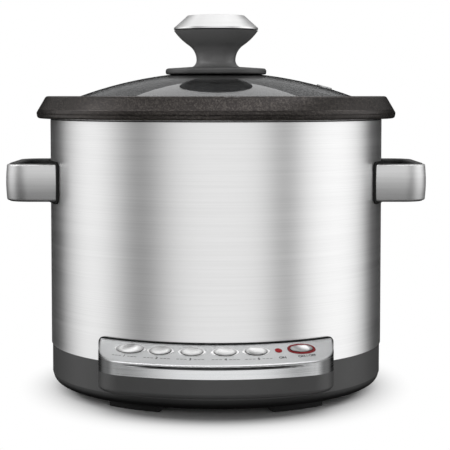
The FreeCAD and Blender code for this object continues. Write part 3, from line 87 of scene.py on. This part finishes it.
class Flow:
    """One output in a node tree. Arithmetic on flows adds Math nodes, and node() adds any other node."""

    def __init__(self, tree, socket=None):
        self.tree = tree
        self.socket = socket

    def node(self, kind, settings=None, inputs=None, out=0):
        """Adds a node, makes its settings, then sets or links its inputs by name or number."""
        made = self.tree.nodes.new("ShaderNode" + kind)
        for name, value in (settings or {}).items():
            setattr(made, name, value)
        for name, value in (inputs or {}).items():
            if isinstance(value, Flow):
                self.tree.links.new(value.socket, made.inputs[name])
            else:
                made.inputs[name].default_value = value
        return Flow(self.tree, made.outputs[out])

    def math(self, operation, *values):
        return self.node("Math", {"operation": operation}, dict(enumerate(values)))

    def __add__(self, other):
        return self.math("ADD", self, other)

    def __sub__(self, other):
        return self.math("SUBTRACT", self, other)

    def __rsub__(self, other):
        return self.math("SUBTRACT", other, self)

    def __mul__(self, other):
        return self.math("MULTIPLY", self, other)

    def __truediv__(self, other):
        return self.math("DIVIDE", self, other)

    def __pow__(self, other):
        return self.math("POWER", self, other)

    __radd__ = __add__
    __rmul__ = __mul__

    def step(self, low, high):
        """Smooth step from 0 at low to 1 at high."""
        return self.node("MapRange", {"interpolation_type": "SMOOTHSTEP"},
                         {"Value": self, "From Min": low, "From Max": high})

    def mix(self, first, second):
        """Colour from first, where this flow is 0, to second, where it is 1.

        A Mix node's colour sockets share their names with others, so they go by number.
        """
        return self.node("Mix", {"data_type": "RGBA"}, {0: self, 6: first, 7: second}, out=2)

    def noise(self, scale, detail=2.0, stretch=(1.0, 1.0, 1.0)):
        """Noise of this vector, with a scale in waves per metre along each axis."""
        spread = self.node("Mapping", None, {"Vector": self, "Scale": stretch})
        return self.node("TexNoise", None, {"Vector": spread, "Scale": scale, "Detail": detail})

    def bump(self, depth, strength=1.0, facing=None):
        """Normal, or facing if given, bent by this height, from 0 to 1 over a depth in metres."""
        base = {"Normal": facing} if facing else {}
        return self.node("Bump", None, {"Strength": strength, "Distance": depth, "Height": self, **base})

    def part(self, axis):
        """The X, Y or Z part of this vector."""
        return self.node("SeparateXYZ", None, {"Vector": self}, out=axis)

    def leaned(self):
        """Normal of the face, leaned up or down by this slope."""
        tilt = self.node("CombineXYZ", None, {"Z": self})
        face = self.node("NewGeometry", out="Normal")
        leaning = self.node("VectorMath", {"operation": "ADD"}, {0: face, 1: tilt})
        return self.node("VectorMath", {"operation": "NORMALIZE"}, {0: leaning})


def finish(name, constants):
    """New Principled material with plain values on its sockets, and a flow of Object coordinates."""
    material = bpy.data.materials.new(name)
    material.use_nodes = True
    shader = material.node_tree.nodes["Principled BSDF"]
    for socket, value in constants.items():
        shader.inputs[socket].default_value = value
    return material, Flow(material.node_tree).node("TexCoord", out="Object")


def feed(material, flows):
    """Links flows to the sockets of a material's shader."""
    shader = material.node_tree.nodes["Principled BSDF"]
    for socket, flow in flows.items():
        material.node_tree.links.new(flow.socket, shader.inputs[socket])


def grey(level, warmth=0.0):
    """Near-neutral colour; warmth above 0 leans it to brown, below 0 to blue."""
    return (level * (1 + warmth), level, level * (1 - warmth), 1.0)


def moulding(name, level, roughness, grain, depth):
    """Moulded plastic: a spark-eroded grain in the surface and a faint cloud in its tone and gloss."""
    material, place = finish(name, {"Specular IOR Level": 0.5})
    eroded = place.noise(1 / grain, 3.0)
    cloud = place.noise(22.0, 3.0)
    feed(material, {"Base Color": cloud.step(0.3, 0.7).mix(grey(level * 0.9), grey(level * 1.1)),
                    "Roughness": eroded * 0.14 + cloud * 0.08 + (roughness - 0.11),
                    "Normal": eroded.bump(depth, 0.5)})
    return material


MERGE = 2e-6
SHARP_DEG = 32.0


def piece_from(name, points, faces, material, body, sharp):
    """Smooth-shaded piece with creases where its faces meet at more than sharp degrees."""
    mesh = bpy.data.meshes.new(name)
    mesh.from_pydata(points, [], faces)
    mesh.materials.append(material)
    mesh.shade_smooth()
    mesh.set_sharp_from_angle(angle=math.radians(sharp))
    piece = bpy.data.objects.new(name, mesh)
    bpy.context.scene.collection.objects.link(piece)
    piece.modifiers.new("even_shading", "WEIGHTED_NORMAL").keep_sharp = True
    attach(piece, body)
    return piece


def dress(node, material, sharp=SHARP_DEG):
    """Gives a CAD node its finish on a copy of its mesh, with equal points merged for smooth shading."""
    source = frame["nodes"][node]
    points = np.empty(len(source.data.vertices) * 3)
    source.data.vertices.foreach_get("co", points)
    corners = np.empty(len(source.data.loops), dtype=np.int64)
    source.data.loops.foreach_get("vertex_index", corners)
    grid, merged = np.unique(np.round(points.reshape(-1, 3) / MERGE), axis=0, return_inverse=True)
    faces = merged.reshape(-1)[corners].reshape(-1, 3)
    whole = (faces != np.roll(faces, 1, axis=1)).all(axis=1)
    piece = piece_from(node + "_skin", grid * MERGE, faces[whole], material,
                       source["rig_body"], sharp)
    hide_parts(node)
    return piece


charcoal = moulding("charcoal moulding", 0.046, 0.46, 0.0006, 0.00004)
dress("base_moulding", charcoal)

# Plinth cover: a shallow black dish with a round edge that closes the base from below, moulded in a plain
# matt plastic, with slots for cooling air and four screws. Its tone falls from the base's grey at its
# upper edge to near black below, partly its own black and partly painted shade of the underside that faces
# the floor.
PLINTH_HEIGHT = 0.0076
PLINTH_ROLL = 0.005
plinth_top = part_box("bottom_cover")[0].z + PLINTH_HEIGHT


def plinth_finish():
    """Matt black moulding, lighter up to the grey of the base along its upper edge, with painted shade
    darkening it below.
    """
    material, place = finish("plinth moulding", {"Specular IOR Level": 0.15})
    # Painted shade: the tone falls from the base's grey at the upper edge to near black below.
    painted_shade_grading = place.part("Z").step(plinth_top - PLINTH_ROLL, plinth_top)
    grain = place.noise(1400.0, 3.0)
    feed(material, {"Base Color": painted_shade_grading.mix(grey(0.004), grey(0.05)),
                    "Roughness": grain * 0.14 + 0.48,
                    "Normal": grain.bump(0.00004, 0.5)})
    return material


dress("bottom_cover", plinth_finish())

# Feet: four curved rubber pads pressed into pockets of the plinth, with a dull, dusty surface.
# They carry the cooker and keep it from sliding.


def rubber_finish(name, level):
    """Soft rubber: dull all over, with a fine dusty mottling."""
    material, place = finish(name, {"Specular IOR Level": 0.2})
    dust = place.noise(900.0, 4.0)
    feed(material, {"Base Color": dust.step(0.35, 0.75).mix(grey(level), grey(level * 1.7)),
                    "Roughness": dust * 0.2 + 0.62,
                    "Normal": dust.bump(0.00003, 0.4)})
    return material


rubber = rubber_finish("black rubber", 0.006)
dress("feet", rubber)

# Steel shell: a sleeve of thin stainless sheet, flanged at both ends and clamped on the base.
# It is brushed in level lines round the body and left bare, with a clear satin sheen.


def brushed(name, level, roughness, line, lean=None):
    """Metal brushed in level lines: noise drawn out sideways, in tone, gloss and surface.

    lean, if given, is a function from the height to the slope by which the face rolls up or down there.
    """
    material, place = finish(name, {"Metallic": 1.0})
    facing = lean(place.part("Z")).leaned() if lean else None
    lines = place.noise(1.0, 2.0, (11.0, 11.0, 1 / line))
    bands = place.noise(1.0, 2.0, (5.0, 5.0, 0.22 / line))
    streak = lines * 0.6 + bands * 0.4
    feed(material, {"Base Color": streak.step(0.3, 0.7).mix(grey(level * 0.95), grey(level * 1.03)),
                    "Roughness": streak * 0.1 + (roughness - 0.05),
                    "Normal": lines.bump(0.000012, 0.35, facing)})
    return material


shell_steel = brushed("brushed shell steel", 0.78, 0.3, 0.0008)
dress("steel_shell", shell_steel)

# Inner liner, heater plate and fixings: pressed and cast aluminium inside the shell, seen once the bowl
# is lifted out. The element, its posts and the sensor's spring are dull plated steel, and the spring
# has a mesh of its own. The ring round the liner's mouth is a black moulding.


def plain_metal(name, level, roughness, warmth=0.0):
    """Unpolished metal with a mottled tone and gloss, as it comes from the press or the foundry."""
    material, place = finish(name, {"Metallic": 1.0})
    mottle = place.noise(160.0, 5.0)
    fine = place.noise(2200.0, 2.0)
    dull = grey(level * 0.85, warmth)
    feed(material, {"Base Color": mottle.step(0.3, 0.7).mix(dull, grey(level, warmth)),
                    "Roughness": mottle * 0.16 + fine * 0.08 + (roughness - 0.12),
                    "Normal": fine.bump(0.00002, 0.3)})
    return material


liner_metal = plain_metal("drawn liner", 0.62, 0.36)
cast_metal = plain_metal("cast heater plate", 0.55, 0.5)
plated = plain_metal("plated steel", 0.5, 0.34, 0.02)
for node in ("inner_liner", "sensor_bracket", "sensor_cap"):
    dress(node, liner_metal)
dress("heater_plate", cast_metal)
for node in ("heating_element", "heater_posts", "sensor_clip",
             "base_screws", "handle_screws", "board_screws"):
    dress(node, plated)
spring = dress("sensor_spring", plated)
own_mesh(spring)
black = moulding("black moulding", 0.016, 0.5, 0.0007, 0.00004)
dress("top_ring", black)

# Boards and leads: two circuit boards with a green mask, moulded components and soft insulated leads.
# The boards are screwed to posts of the base and the plinth and show only through the cooling slots.


def board_finish():
    """Masked circuit board: green, glossier over faint square-cut tracks of copper."""
    material, place = finish("green board", {"Coat Weight": 0.3})
    tracks = place.node("TexVoronoi", {"distance": "CHEBYCHEV"}, {"Vector": place, "Scale": 260.0})
    copper = tracks.step(0.28, 0.34)
    feed(material, {"Base Color": copper.mix((0.02, 0.11, 0.04, 1.0), (0.04, 0.17, 0.06, 1.0)),
                    "Roughness": copper * 0.15 + 0.3,
                    "Normal": copper.bump(0.00003, 0.3)})
    return material


green_board = board_finish()
component = moulding("moulded component", 0.02, 0.42, 0.0005, 0.00003)
insulation = rubber_finish("lead insulation", 0.16)
dress("power_board", green_board)
dress("control_board", green_board)
for node in ("relay", "transformer", "tact_switches", "thermal_fuse"):
    dress(node, component)
for node in ("heater_leads", "panel_lead", "inlet_leads"):
    dress(node, insulation)

# Power inlet: a black moulded socket let into the back of the base, with three plated contact blades.
# It is pressed in from outside until its flange meets the block round it.
dress("inlet_socket", black)
contact = plain_metal("plated contact", 0.62, 0.25, 0.12)
dress("inlet_pins", contact)

# Control fascia: a hollow metal moulding on the front of the base, sealed to the shell by a black strip.
# Its sloped top is bead blasted and its front edge brushed, with a groove under the crease between them.
SLOPE_FRONT = 0.010
FASCIA_SHARP_DEG = 22.0
LOOKING_UP = (0.45, 0.85)
CORNER_FROM = 0.018
CORNER_TO = 0.008
CORNER_SHADE = 0.84
GROOVE_DROP = 0.0024
GROOVE_EDGE = (0.0007, 0.0012)
GROOVE_FADE = (0.045, 0.068)
GROOVE_SHADE = 0.92
fascia_low, fascia_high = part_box("control_fascia")
crease_z = fascia_low.z + SLOPE_FRONT
groove_z = crease_z - GROOVE_DROP


def fascia_finish():
    """Two finishes parted by the way a face looks: blasted grain where it looks up, level lines below.

    The brushed part is darker where it turns the corners at both ends, a painted dark reflection, and in
    the groove, painted shade.
    """
    material, place = finish("fascia metal", {"Metallic": 1.0})
    upward = place.node("NewGeometry", out="Normal").part("Z").step(*LOOKING_UP)
    blast = place.noise(2400.0, 2.0)
    lines = place.noise(1.0, 2.0, (12.0, 12.0, 1100.0))
    grain = upward * blast + (1 - upward) * lines
    aside = place.math("ABSOLUTE", place.part("X"))
    # Painted dark reflection: the brushed front darkens as it turns the corners at both ends.
    painted_corner_shade = aside.step(fascia_high.x - CORNER_FROM, fascia_high.x - CORNER_TO) * (1 - upward)
    # Painted shade: a dark line along the groove under the crease, fading towards its ends.
    depth = place.math("ABSOLUTE", place.part("Z") - groove_z)
    groove = (1 - depth.step(*GROOVE_EDGE)) * (1 - aside.step(*GROOVE_FADE))
    tone = (grain.step(0.25, 0.75) * 0.12 + 0.68 - upward * 0.07) * (1 - painted_corner_shade * CORNER_SHADE)
    feed(material, {"Base Color": (tone * (1 - groove * GROOVE_SHADE)).mix(grey(0.0), grey(1.0, -0.01)),
                    "Roughness": upward * 0.2 + grain * 0.14 + 0.2,
                    "Normal": grain.bump(0.00002, 0.3)})
    return material


dress("control_fascia", fascia_finish(), FASCIA_SHARP_DEG)
dress("panel_gasket", rubber)

# Buttons and lights: dished keys plated in satin chrome in polished eye-shaped bezels, a red ring round
# the start button and a red lens beside it. The keys ride in sleeves of the fascia over push switches.
BUTTON_INSET = 0.0158
KEY_HALVES = {"function_button_1": (0.0102, 0.0059), "start_button": (0.0087, 0.0044)}
PLAIN_KEY_HALVES = (0.0077, 0.0053)
KEY_EDGE = (0.45, 1.0)
KEY_SHADE = 0.5
BEZEL_LIP = (1.05, 1.42)
BEZEL_SHADE = 0.62
buttons = ["function_button_%d" % number for number in range(1, 6)] + ["start_button"]
shell_low, shell_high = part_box("steel_shell")
axis_y = (shell_low.y + shell_high.y) / 2
panel_r = axis_y - fascia_low.y
ring_r = panel_r - BUTTON_INSET
press = next(joint["axis"] for joint in frame["joints"] if joint["name"] == "start_button_press")
slope = math.atan2(-press[1], press[2])


def turn_of(node):
    """Turn of a piece on the button ring from the front of the cooker, in radians."""
    low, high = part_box(node)
    return math.asin((low.x + high.x) / 2 / ring_r)


def beyond_key(place):
    """Square of the distance from the middle of the nearest key, which is 1 on the key's outline."""
    across = place.part("X")
    away = axis_y - place.part("Y")
    angle = place.math("ARCTAN2", across, away)
    climb = ((across * across + away * away) ** 0.5 - ring_r) / math.cos(slope)
    nearest = None
    for node in buttons:
        half_long, half_short = KEY_HALVES.get(node, PLAIN_KEY_HALVES)
        along = (angle - turn_of(node)) * (ring_r / half_long)
        uphill = climb / half_short
        square = along * along + uphill * uphill
        nearest = place.math("MINIMUM", nearest, square) if nearest else square
    return nearest


def key_shade(place):
    """Share of black on a key, a painted dark reflection: none in the middle of its dish, growing towards
    its edge.
    """
    return beyond_key(place).step(*KEY_EDGE) * KEY_SHADE


def bezel_shade(place):
    """Share of black on a bezel, a painted dark reflection: most beside the key, none along its outer lip.
    """
    return (1 - beyond_key(place).step(*BEZEL_LIP)) * BEZEL_SHADE


def plating(name, level, roughness, shade=None):
    """Bright plating with a barely visible cloudiness in its gloss.

    shade, if given, is a function from the Object coordinates to the share of black painted into the tone
    there, as a painted dark reflection.
    """
    material, place = finish(name, {"Metallic": 1.0})
    cloud = place.noise(420.0, 4.0)
    tone = cloud.step(0.25, 0.75).mix(grey(level * 0.96), grey(level))
    if shade:
        tone = shade(place).mix(tone, grey(0.0))
    feed(material, {"Base Color": tone,
                    "Roughness": cloud * 0.1 + (roughness - 0.05),
                    "Normal": cloud.bump(0.000006, 0.2)})
    return material


def red_moulding(name, colour, glow):
    """Clear red plastic, deeper in tone where the moulding is thick, under a polished skin."""
    material, place = finish(name, {"Coat Weight": 0.04, "Specular IOR Level": 0.12,
                                    "Emission Strength": glow})
    depth = place.noise(700.0, 3.0).step(0.3, 0.7)
    deep = tuple(0.7 * part for part in colour)
    tint = depth.mix((*deep, 1.0), (*colour, 1.0))
    feed(material, {"Base Color": tint, "Emission Color": tint, "Roughness": depth * 0.1 + 0.25})
    return material


# Painted dark reflections: the keys darken towards their edges, and the bezels beside the keys.
satin_chrome = plating("satin chrome", 0.74, 0.2, key_shade)
polished = plating("polished chrome", 0.85, 0.1, bezel_shade)
for node in buttons:
    dress(node, satin_chrome)
dress("button_bezels", polished)
dress("light_ring", red_moulding("red ring", (0.24, 0.006, 0.01), 0.0))
lit_red = red_moulding("red lens", (0.34, 0.008, 0.012), 0.05)
dress("indicator_lens", lit_red)
dress("indicator_lamp", lit_red)

# Printed marks: a plain number between dashes under each function button, and plain words under the lamp
# and the start button. They are pad printed in dark ink on the blasted slope.
MARK_DROP = 0.0093
MARK_SIZE = 0.0034
MARK_BOLD = 0.00013
INK = 0.00004


def printed(name, words, turn, material):
    """Words set flat, then laid on the fascia's cone: across turns about its axis, up climbs the slope."""
    curve = bpy.data.curves.new(name, "FONT")
    curve.body = words
    curve.size = MARK_SIZE
    curve.offset = MARK_BOLD
    curve.align_x = "CENTER"
    curve.align_y = "CENTER"
    curve.extrude = INK
    flat = bpy.data.objects.new(name + "_flat", curve)
    bpy.context.scene.collection.objects.link(flat)
    mesh = bpy.data.meshes.new_from_object(flat)
    bpy.data.objects.remove(flat)
    points = np.empty(len(mesh.vertices) * 3)
    mesh.vertices.foreach_get("co", points)
    across, climb, proud = points.reshape(-1, 3).T
    reach = ring_r + (MARK_DROP - climb) * math.cos(slope)
    angle = turn + across / reach
    height = crease_z + (panel_r - reach) * math.tan(slope) + proud * math.cos(slope)
    out = reach + proud * math.sin(slope)
    laid = np.stack([out * np.sin(angle), axis_y - out * np.cos(angle), height], axis=1)
    mesh.vertices.foreach_set("co", laid.ravel())
    mesh.materials.clear()
    mesh.materials.append(material)
    piece = bpy.data.objects.new(name, mesh)
    bpy.context.scene.collection.objects.link(piece)
    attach(piece, "housing")


ink = moulding("dark ink", 0.03, 0.55, 0.0003, 0.000005)
for number, node in enumerate(buttons[:5], start=1):
    printed("mark_%d" % number, "– – –  %d  – – –" % number, turn_of(node), ink)
printed("mark_lamp", "ON", turn_of("indicator_lens"), ink)
printed("mark_start", "ON / OFF", turn_of("start_button"), ink)

# Handles: on each side a black moulded loop on a dark gasket, with a pressed steel band round its outside.
# Two screws from inside the shell hold each one.
BAND_LEAN = -0.22
BAND_ROLL = 0.16
band_low, band_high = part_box("handle_band_left")
band_middle = (band_high.z + band_low.z) / 2
band_curve = BAND_ROLL / (band_high.z - band_low.z)


def band_lean(height):
    """Slope by which the band's face rolls from its lower to its upper edge."""
    return (height - band_middle) * band_curve + BAND_LEAN


band_steel = brushed("brushed band steel", 0.76, 0.42, 0.0007, band_lean)
for side in ("right", "left"):
    dress("handle_gasket_" + side, rubber)
    dress("handle_grip_" + side, black)
    dress("handle_band_" + side, band_steel)

# Bowl: a lift-out cast bowl whose broad rim slopes down past the shell. It has a dark bronze-black
# non-stick coating, baked on, with a fine metallic fleck in it.
CREASE_DROP = 0.01
CREASE_END = 0.0135
CREASE_RAMP = 0.001
CREASE_LEAN = -0.42
rim_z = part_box("cooking_bowl")[1].z
crease_top = rim_z - CREASE_DROP
crease_low = rim_z - CREASE_END


def coating_finish():
    """Baked coating: near black with small cells of metal fleck scattered in it.

    Along the crease under the rim the face leans down, so that it stays dark.
    """
    material, place = finish("bowl coating", {"Specular Tint": (1.0, 0.9, 0.9, 1.0),
                                              "Specular IOR Level": 0.36})
    cells = place.node("TexVoronoi", None, {"Vector": place, "Scale": 1700.0}, out="Color")
    chance = place.node("SeparateColor", None, {"Color": cells})
    fleck = chance.step(0.5, 1.0)
    cloud = place.noise(45.0, 3.0)
    height = place.part("Z")
    below_top = 1 - height.step(crease_top - CREASE_RAMP, crease_top)
    crease = below_top * height.step(crease_low - CREASE_RAMP, crease_low)
    ground = cloud.step(0.3, 0.7).mix(grey(0.006, 0.15), grey(0.009, 0.15))
    feed(material, {"Base Color": fleck.mix(ground, grey(0.08, 0.1)),
                    "Metallic": fleck * 0.5,
                    "Roughness": cloud * 0.08 - fleck * 0.05 + 0.26,
                    "Normal": chance.bump(0.00003, 0.25, (crease * CREASE_LEAN).leaned())})
    return material


dress("cooking_bowl", coating_finish())

# Lid: a dome of smoky tempered glass in a thin steel channel, with a steel eyelet for steam.
# The glass rests on the bowl's inner step and lifts off by its knob.


def glass_finish():
    """Smoky glass: clear through, with a trace of haze that dulls its polish in places."""
    material, place = finish("smoky glass", {"Transmission Weight": 1.0, "IOR": 1.5})
    haze = place.noise(35.0, 4.0)
    feed(material, {"Base Color": haze.step(0.2, 0.8).mix(grey(0.2, -0.01), grey(0.24, -0.01)),
                    "Roughness": haze * 0.03})
    return material


rim_steel = plating("satin lid channel", 0.6, 0.3)
dress("lid_glass", glass_finish())
dress("lid_rim", rim_steel)
dress("vent_eyelet", rim_steel)

# Knob: a waisted charcoal grip on a round foot, with a spun metal cap glued over its head.
# One screw from inside the lid pulls it down on soft seals.
cap_metal = brushed("spun cap", 0.86, 0.36, 0.0006)
foot_grey = moulding("knob foot moulding", 0.065, 0.42, 0.0006, 0.00004)
grip_grey = moulding("knob grip moulding", 0.14, 0.4, 0.0006, 0.00004)
for node in ("knob_seal", "glass_seal"):
    dress(node, rubber)
dress("knob_foot", foot_grey)
dress("knob_grip", grip_grey)
dress("knob_cap", cap_metal)
for node in ("knob_washer", "knob_screw"):
    dress(node, plated)

# Floor: a round of plain pale grey board under the cooker, which takes its soft shadow and fades into the
# white round it. Its grey near the cooker is painted shade that deepens that shadow.
FLOOR_R = 0.6
FLOOR_RINGS = 12
FLOOR_SPOKES = 96
FADE_FROM = 0.113
FADE_TO = 0.16
FADE_POWER = 0.6
FRONT_SHARE = 0.83
radii = np.linspace(0.0, FLOOR_R, FLOOR_RINGS + 1)[1:]
rings, spokes = np.meshgrid(radii, np.arange(FLOOR_SPOKES), indexing="ij")
spin = spokes * (2 * math.pi / FLOOR_SPOKES)
disc = np.stack([rings * np.cos(spin), rings * np.sin(spin), np.zeros(rings.shape)], axis=-1)
row, column = np.meshgrid(np.arange(FLOOR_RINGS - 1), np.arange(FLOOR_SPOKES), indexing="ij")
ahead = (column + 1) % FLOOR_SPOKES
inner = row * FLOOR_SPOKES
outer = inner + FLOOR_SPOKES
quads = np.stack([inner + column, outer + column, outer + ahead, inner + ahead], axis=-1)
middle = list(range(FLOOR_SPOKES))
mesh = bpy.data.meshes.new("floor")
mesh.from_pydata(disc.reshape(-1, 3), [], quads.reshape(-1, 4).tolist() + [middle])
floor = bpy.data.objects.new("floor", mesh)
bpy.context.scene.collection.objects.link(floor)
floor.visible_glossy = False

# Painted shade: the board is grey near the cooker and only fades to white away from it.
board_with_painted_shade, place = finish("board with painted shade", {"Base Color": grey(0.75), "Roughness": 0.9})
offset = place.node("VectorMath", {"operation": "SUBTRACT"}, {0: place, 1: (0.0, axis_y, 0.0)})
shared = place.node("VectorMath", {"operation": "MULTIPLY"}, {0: offset, 1: (1.0, FRONT_SHARE, 1.0)})
reach = place.node("VectorMath", {"operation": "LENGTH"}, {0: shared}, out="Value")
seen_directly = place.node("LightPath", out="Is Camera Ray")
seen = place.math("MAXIMUM", seen_directly, place.node("LightPath", out="Is Transmission Ray"))
paper = place.node("Emission", None, {"Color": grey(1.0), "Strength": 1.0})
board = Flow(place.tree, place.tree.nodes["Principled BSDF"].outputs[0])
fade = reach.step(FADE_FROM, FADE_TO) ** FADE_POWER * seen
surface = place.node("MixShader", None, {0: fade, 1: board, 2: paper})
place.tree.links.new(surface.socket, place.tree.nodes["Material Output"].inputs["Surface"])
mesh.materials.append(board_with_painted_shade)

# Studio: a white room. What is seen directly or through the glass is plain white; polished metal sees the
# same room with its light strips, grey gaps and dark flags; the rest is lit by an even, plain level.
# Strips give a turn, its spread and a change of level; fills give a rise and its spread before the level.
AMBIENT = 0.72
WALL = 1.1
WALL_FOOT = (-0.64, -0.19)
WALL_FALL = 0.9
WALL_LEAST = 0.02
WALL_TOP = (0.14, 0.36)
DIM = 0.24
CEILING = 1.0
CEILING_EDGE = (0.86, 0.95)
WINDOW_APEX = 0.397
WINDOW_SPREAD = 1.57
WINDOW_SILL = 0.42
WINDOW_LEVEL = 0.9
STRIPS = ((-104, 24, 0.21), (108, 48, 0.25), (-52, 19, -0.81),
          (48, 12, -0.76), (-163, 41, -1.9), (153, 29, -2.6))
FILLS = ((-93, 16, 0.42, 0.16, 3.2), (93, 16, 0.42, 0.16, 3.2),
         (-142, 20, 0.8, 0.24, 0.62), (142, 20, 0.8, 0.24, 0.62))
BACK_RAMP = (0.1, 0.5)
BACK_RISE = 0.93
BACK_SPREAD = 0.14
BACK_LEVEL = 0.6
BAR_RISE = 0.96
BAR_TILT = 0.2
BAR_TURN = 0.3
BAR_SPREAD = 0.13
BAR_END = (1.6, 2.0)
BAR_LEVEL = 2.6
world = bpy.data.worlds.new("studio")
bpy.context.scene.world = world
world.use_nodes = True
sky = Flow(world.node_tree)
toward = sky.node("TexCoord", out="Generated")
across, away, up = (toward.part(axis) for axis in "XYZ")
turn = sky.math("ARCTAN2", across, away * -1.0)
rise = sky.math("ARCSINE", up)


def lobe(flow, middle, spread):
    """Soft hump of a flow: 1 at its middle, falling away on both sides."""
    offset = (flow - middle) * (1 / spread)
    return sky.math("EXPONENT", offset * offset * -1.0)


wall = up.step(*WALL_FOOT) * WALL_FALL + (WALL - WALL_FALL)
for degrees, spread, change in STRIPS:
    wall = wall + lobe(turn, math.radians(degrees), math.radians(spread)) * change
wall = sky.math("MAXIMUM", wall, WALL_LEAST)
low_part = 1 - up.step(*WALL_TOP)
high_part = up.step(*CEILING_EDGE)
window = sky.math("LESS_THAN", sky.math("ABSOLUTE", across), away * (up - WINDOW_APEX) * WINDOW_SPREAD)
window = window * sky.math("GREATER_THAN", up, WINDOW_SILL)
overhead = DIM + high_part * (CEILING - DIM) + window * (1 - high_part) * WINDOW_LEVEL
room = low_part * wall + (1 - low_part) * overhead
for degrees, spread, height, tall, level in FILLS:
    aimed = lobe(turn, math.radians(degrees), math.radians(spread)) * lobe(rise, height, tall)
    room = room + aimed * level
room = room + away.step(*BACK_RAMP) * lobe(rise, BACK_RISE, BACK_SPREAD) * BACK_LEVEL
tilted = rise - sky.math("MINIMUM", turn, BAR_TURN) * BAR_TILT
in_front = 1 - sky.math("ABSOLUTE", turn).step(*BAR_END)
room = room + lobe(tilted, BAR_RISE, BAR_SPREAD) * in_front * BAR_LEVEL
camera_ray = sky.node("LightPath", out="Is Camera Ray")
plain = sky.math("MAXIMUM", camera_ray, sky.node("LightPath", out="Is Transmission Ray"))
glossy_ray = sky.node("LightPath", out="Is Glossy Ray")
strength = plain + (1 - plain) * (glossy_ray * room + (1 - glossy_ray) * AMBIENT)
backdrop = world.node_tree.nodes["Background"]
backdrop.inputs["Color"].default_value = grey(1.0)
world.node_tree.links.new(strength.socket, backdrop.inputs["Strength"])


def softbox(name, place, aim, size, power):
    """Square soft lamp aimed at a point; it lights the cooker but isn't seen itself."""
    light = bpy.data.lights.new(name, "AREA")
    light.size = size
    light.energy = power
    lamp = bpy.data.objects.new(name, light)
    lamp.location = place
    lamp.rotation_euler = (aim - lamp.location).to_track_quat("-Z", "Y").to_euler()
    lamp.visible_camera = False
    lamp.visible_glossy = False
    bpy.context.scene.collection.objects.link(lamp)


middle_of_object = (cad_box[0] + cad_box[1]) / 2
softbox("overhead", place=(0.1, -0.2, 1.4), aim=middle_of_object, size=1.0, power=3.2)
softbox("front_left", place=(-1.1, -1.3, 0.9), aim=middle_of_object, size=0.8, power=4.0)

# Camera: straight in front, level with the bowl's rim, on a long lens as in a catalogue picture.
# Its shift and tilt put the body's axis and the rim where they are in the photograph.
CAMERA_AWAY = 1.134
SENSOR_MM = 36.0
LENS_PX = 1412.0
FRAME_PX = 450.0
AXIS_PX = 216.0
RIM_PX = 96.1
SHIFT_Y = -0.1
camera = bpy.data.objects.new("camera", bpy.data.cameras.new("camera"))
camera.data.sensor_width = SENSOR_MM
camera.data.lens = LENS_PX / FRAME_PX * SENSOR_MM
camera.data.shift_x = 0.5 - AXIS_PX / FRAME_PX
camera.data.shift_y = SHIFT_Y
above = (0.5 + SHIFT_Y) * FRAME_PX - RIM_PX
camera.location = (0.0, axis_y - CAMERA_AWAY, rim_z)
camera.rotation_euler = (math.pi / 2 - math.atan(above / LENS_PX), 0.0, 0.0)
bpy.context.scene.collection.objects.link(camera)
bpy.context.scene.camera = camera
bpy.context.scene.view_settings.view_transform = "Standard"
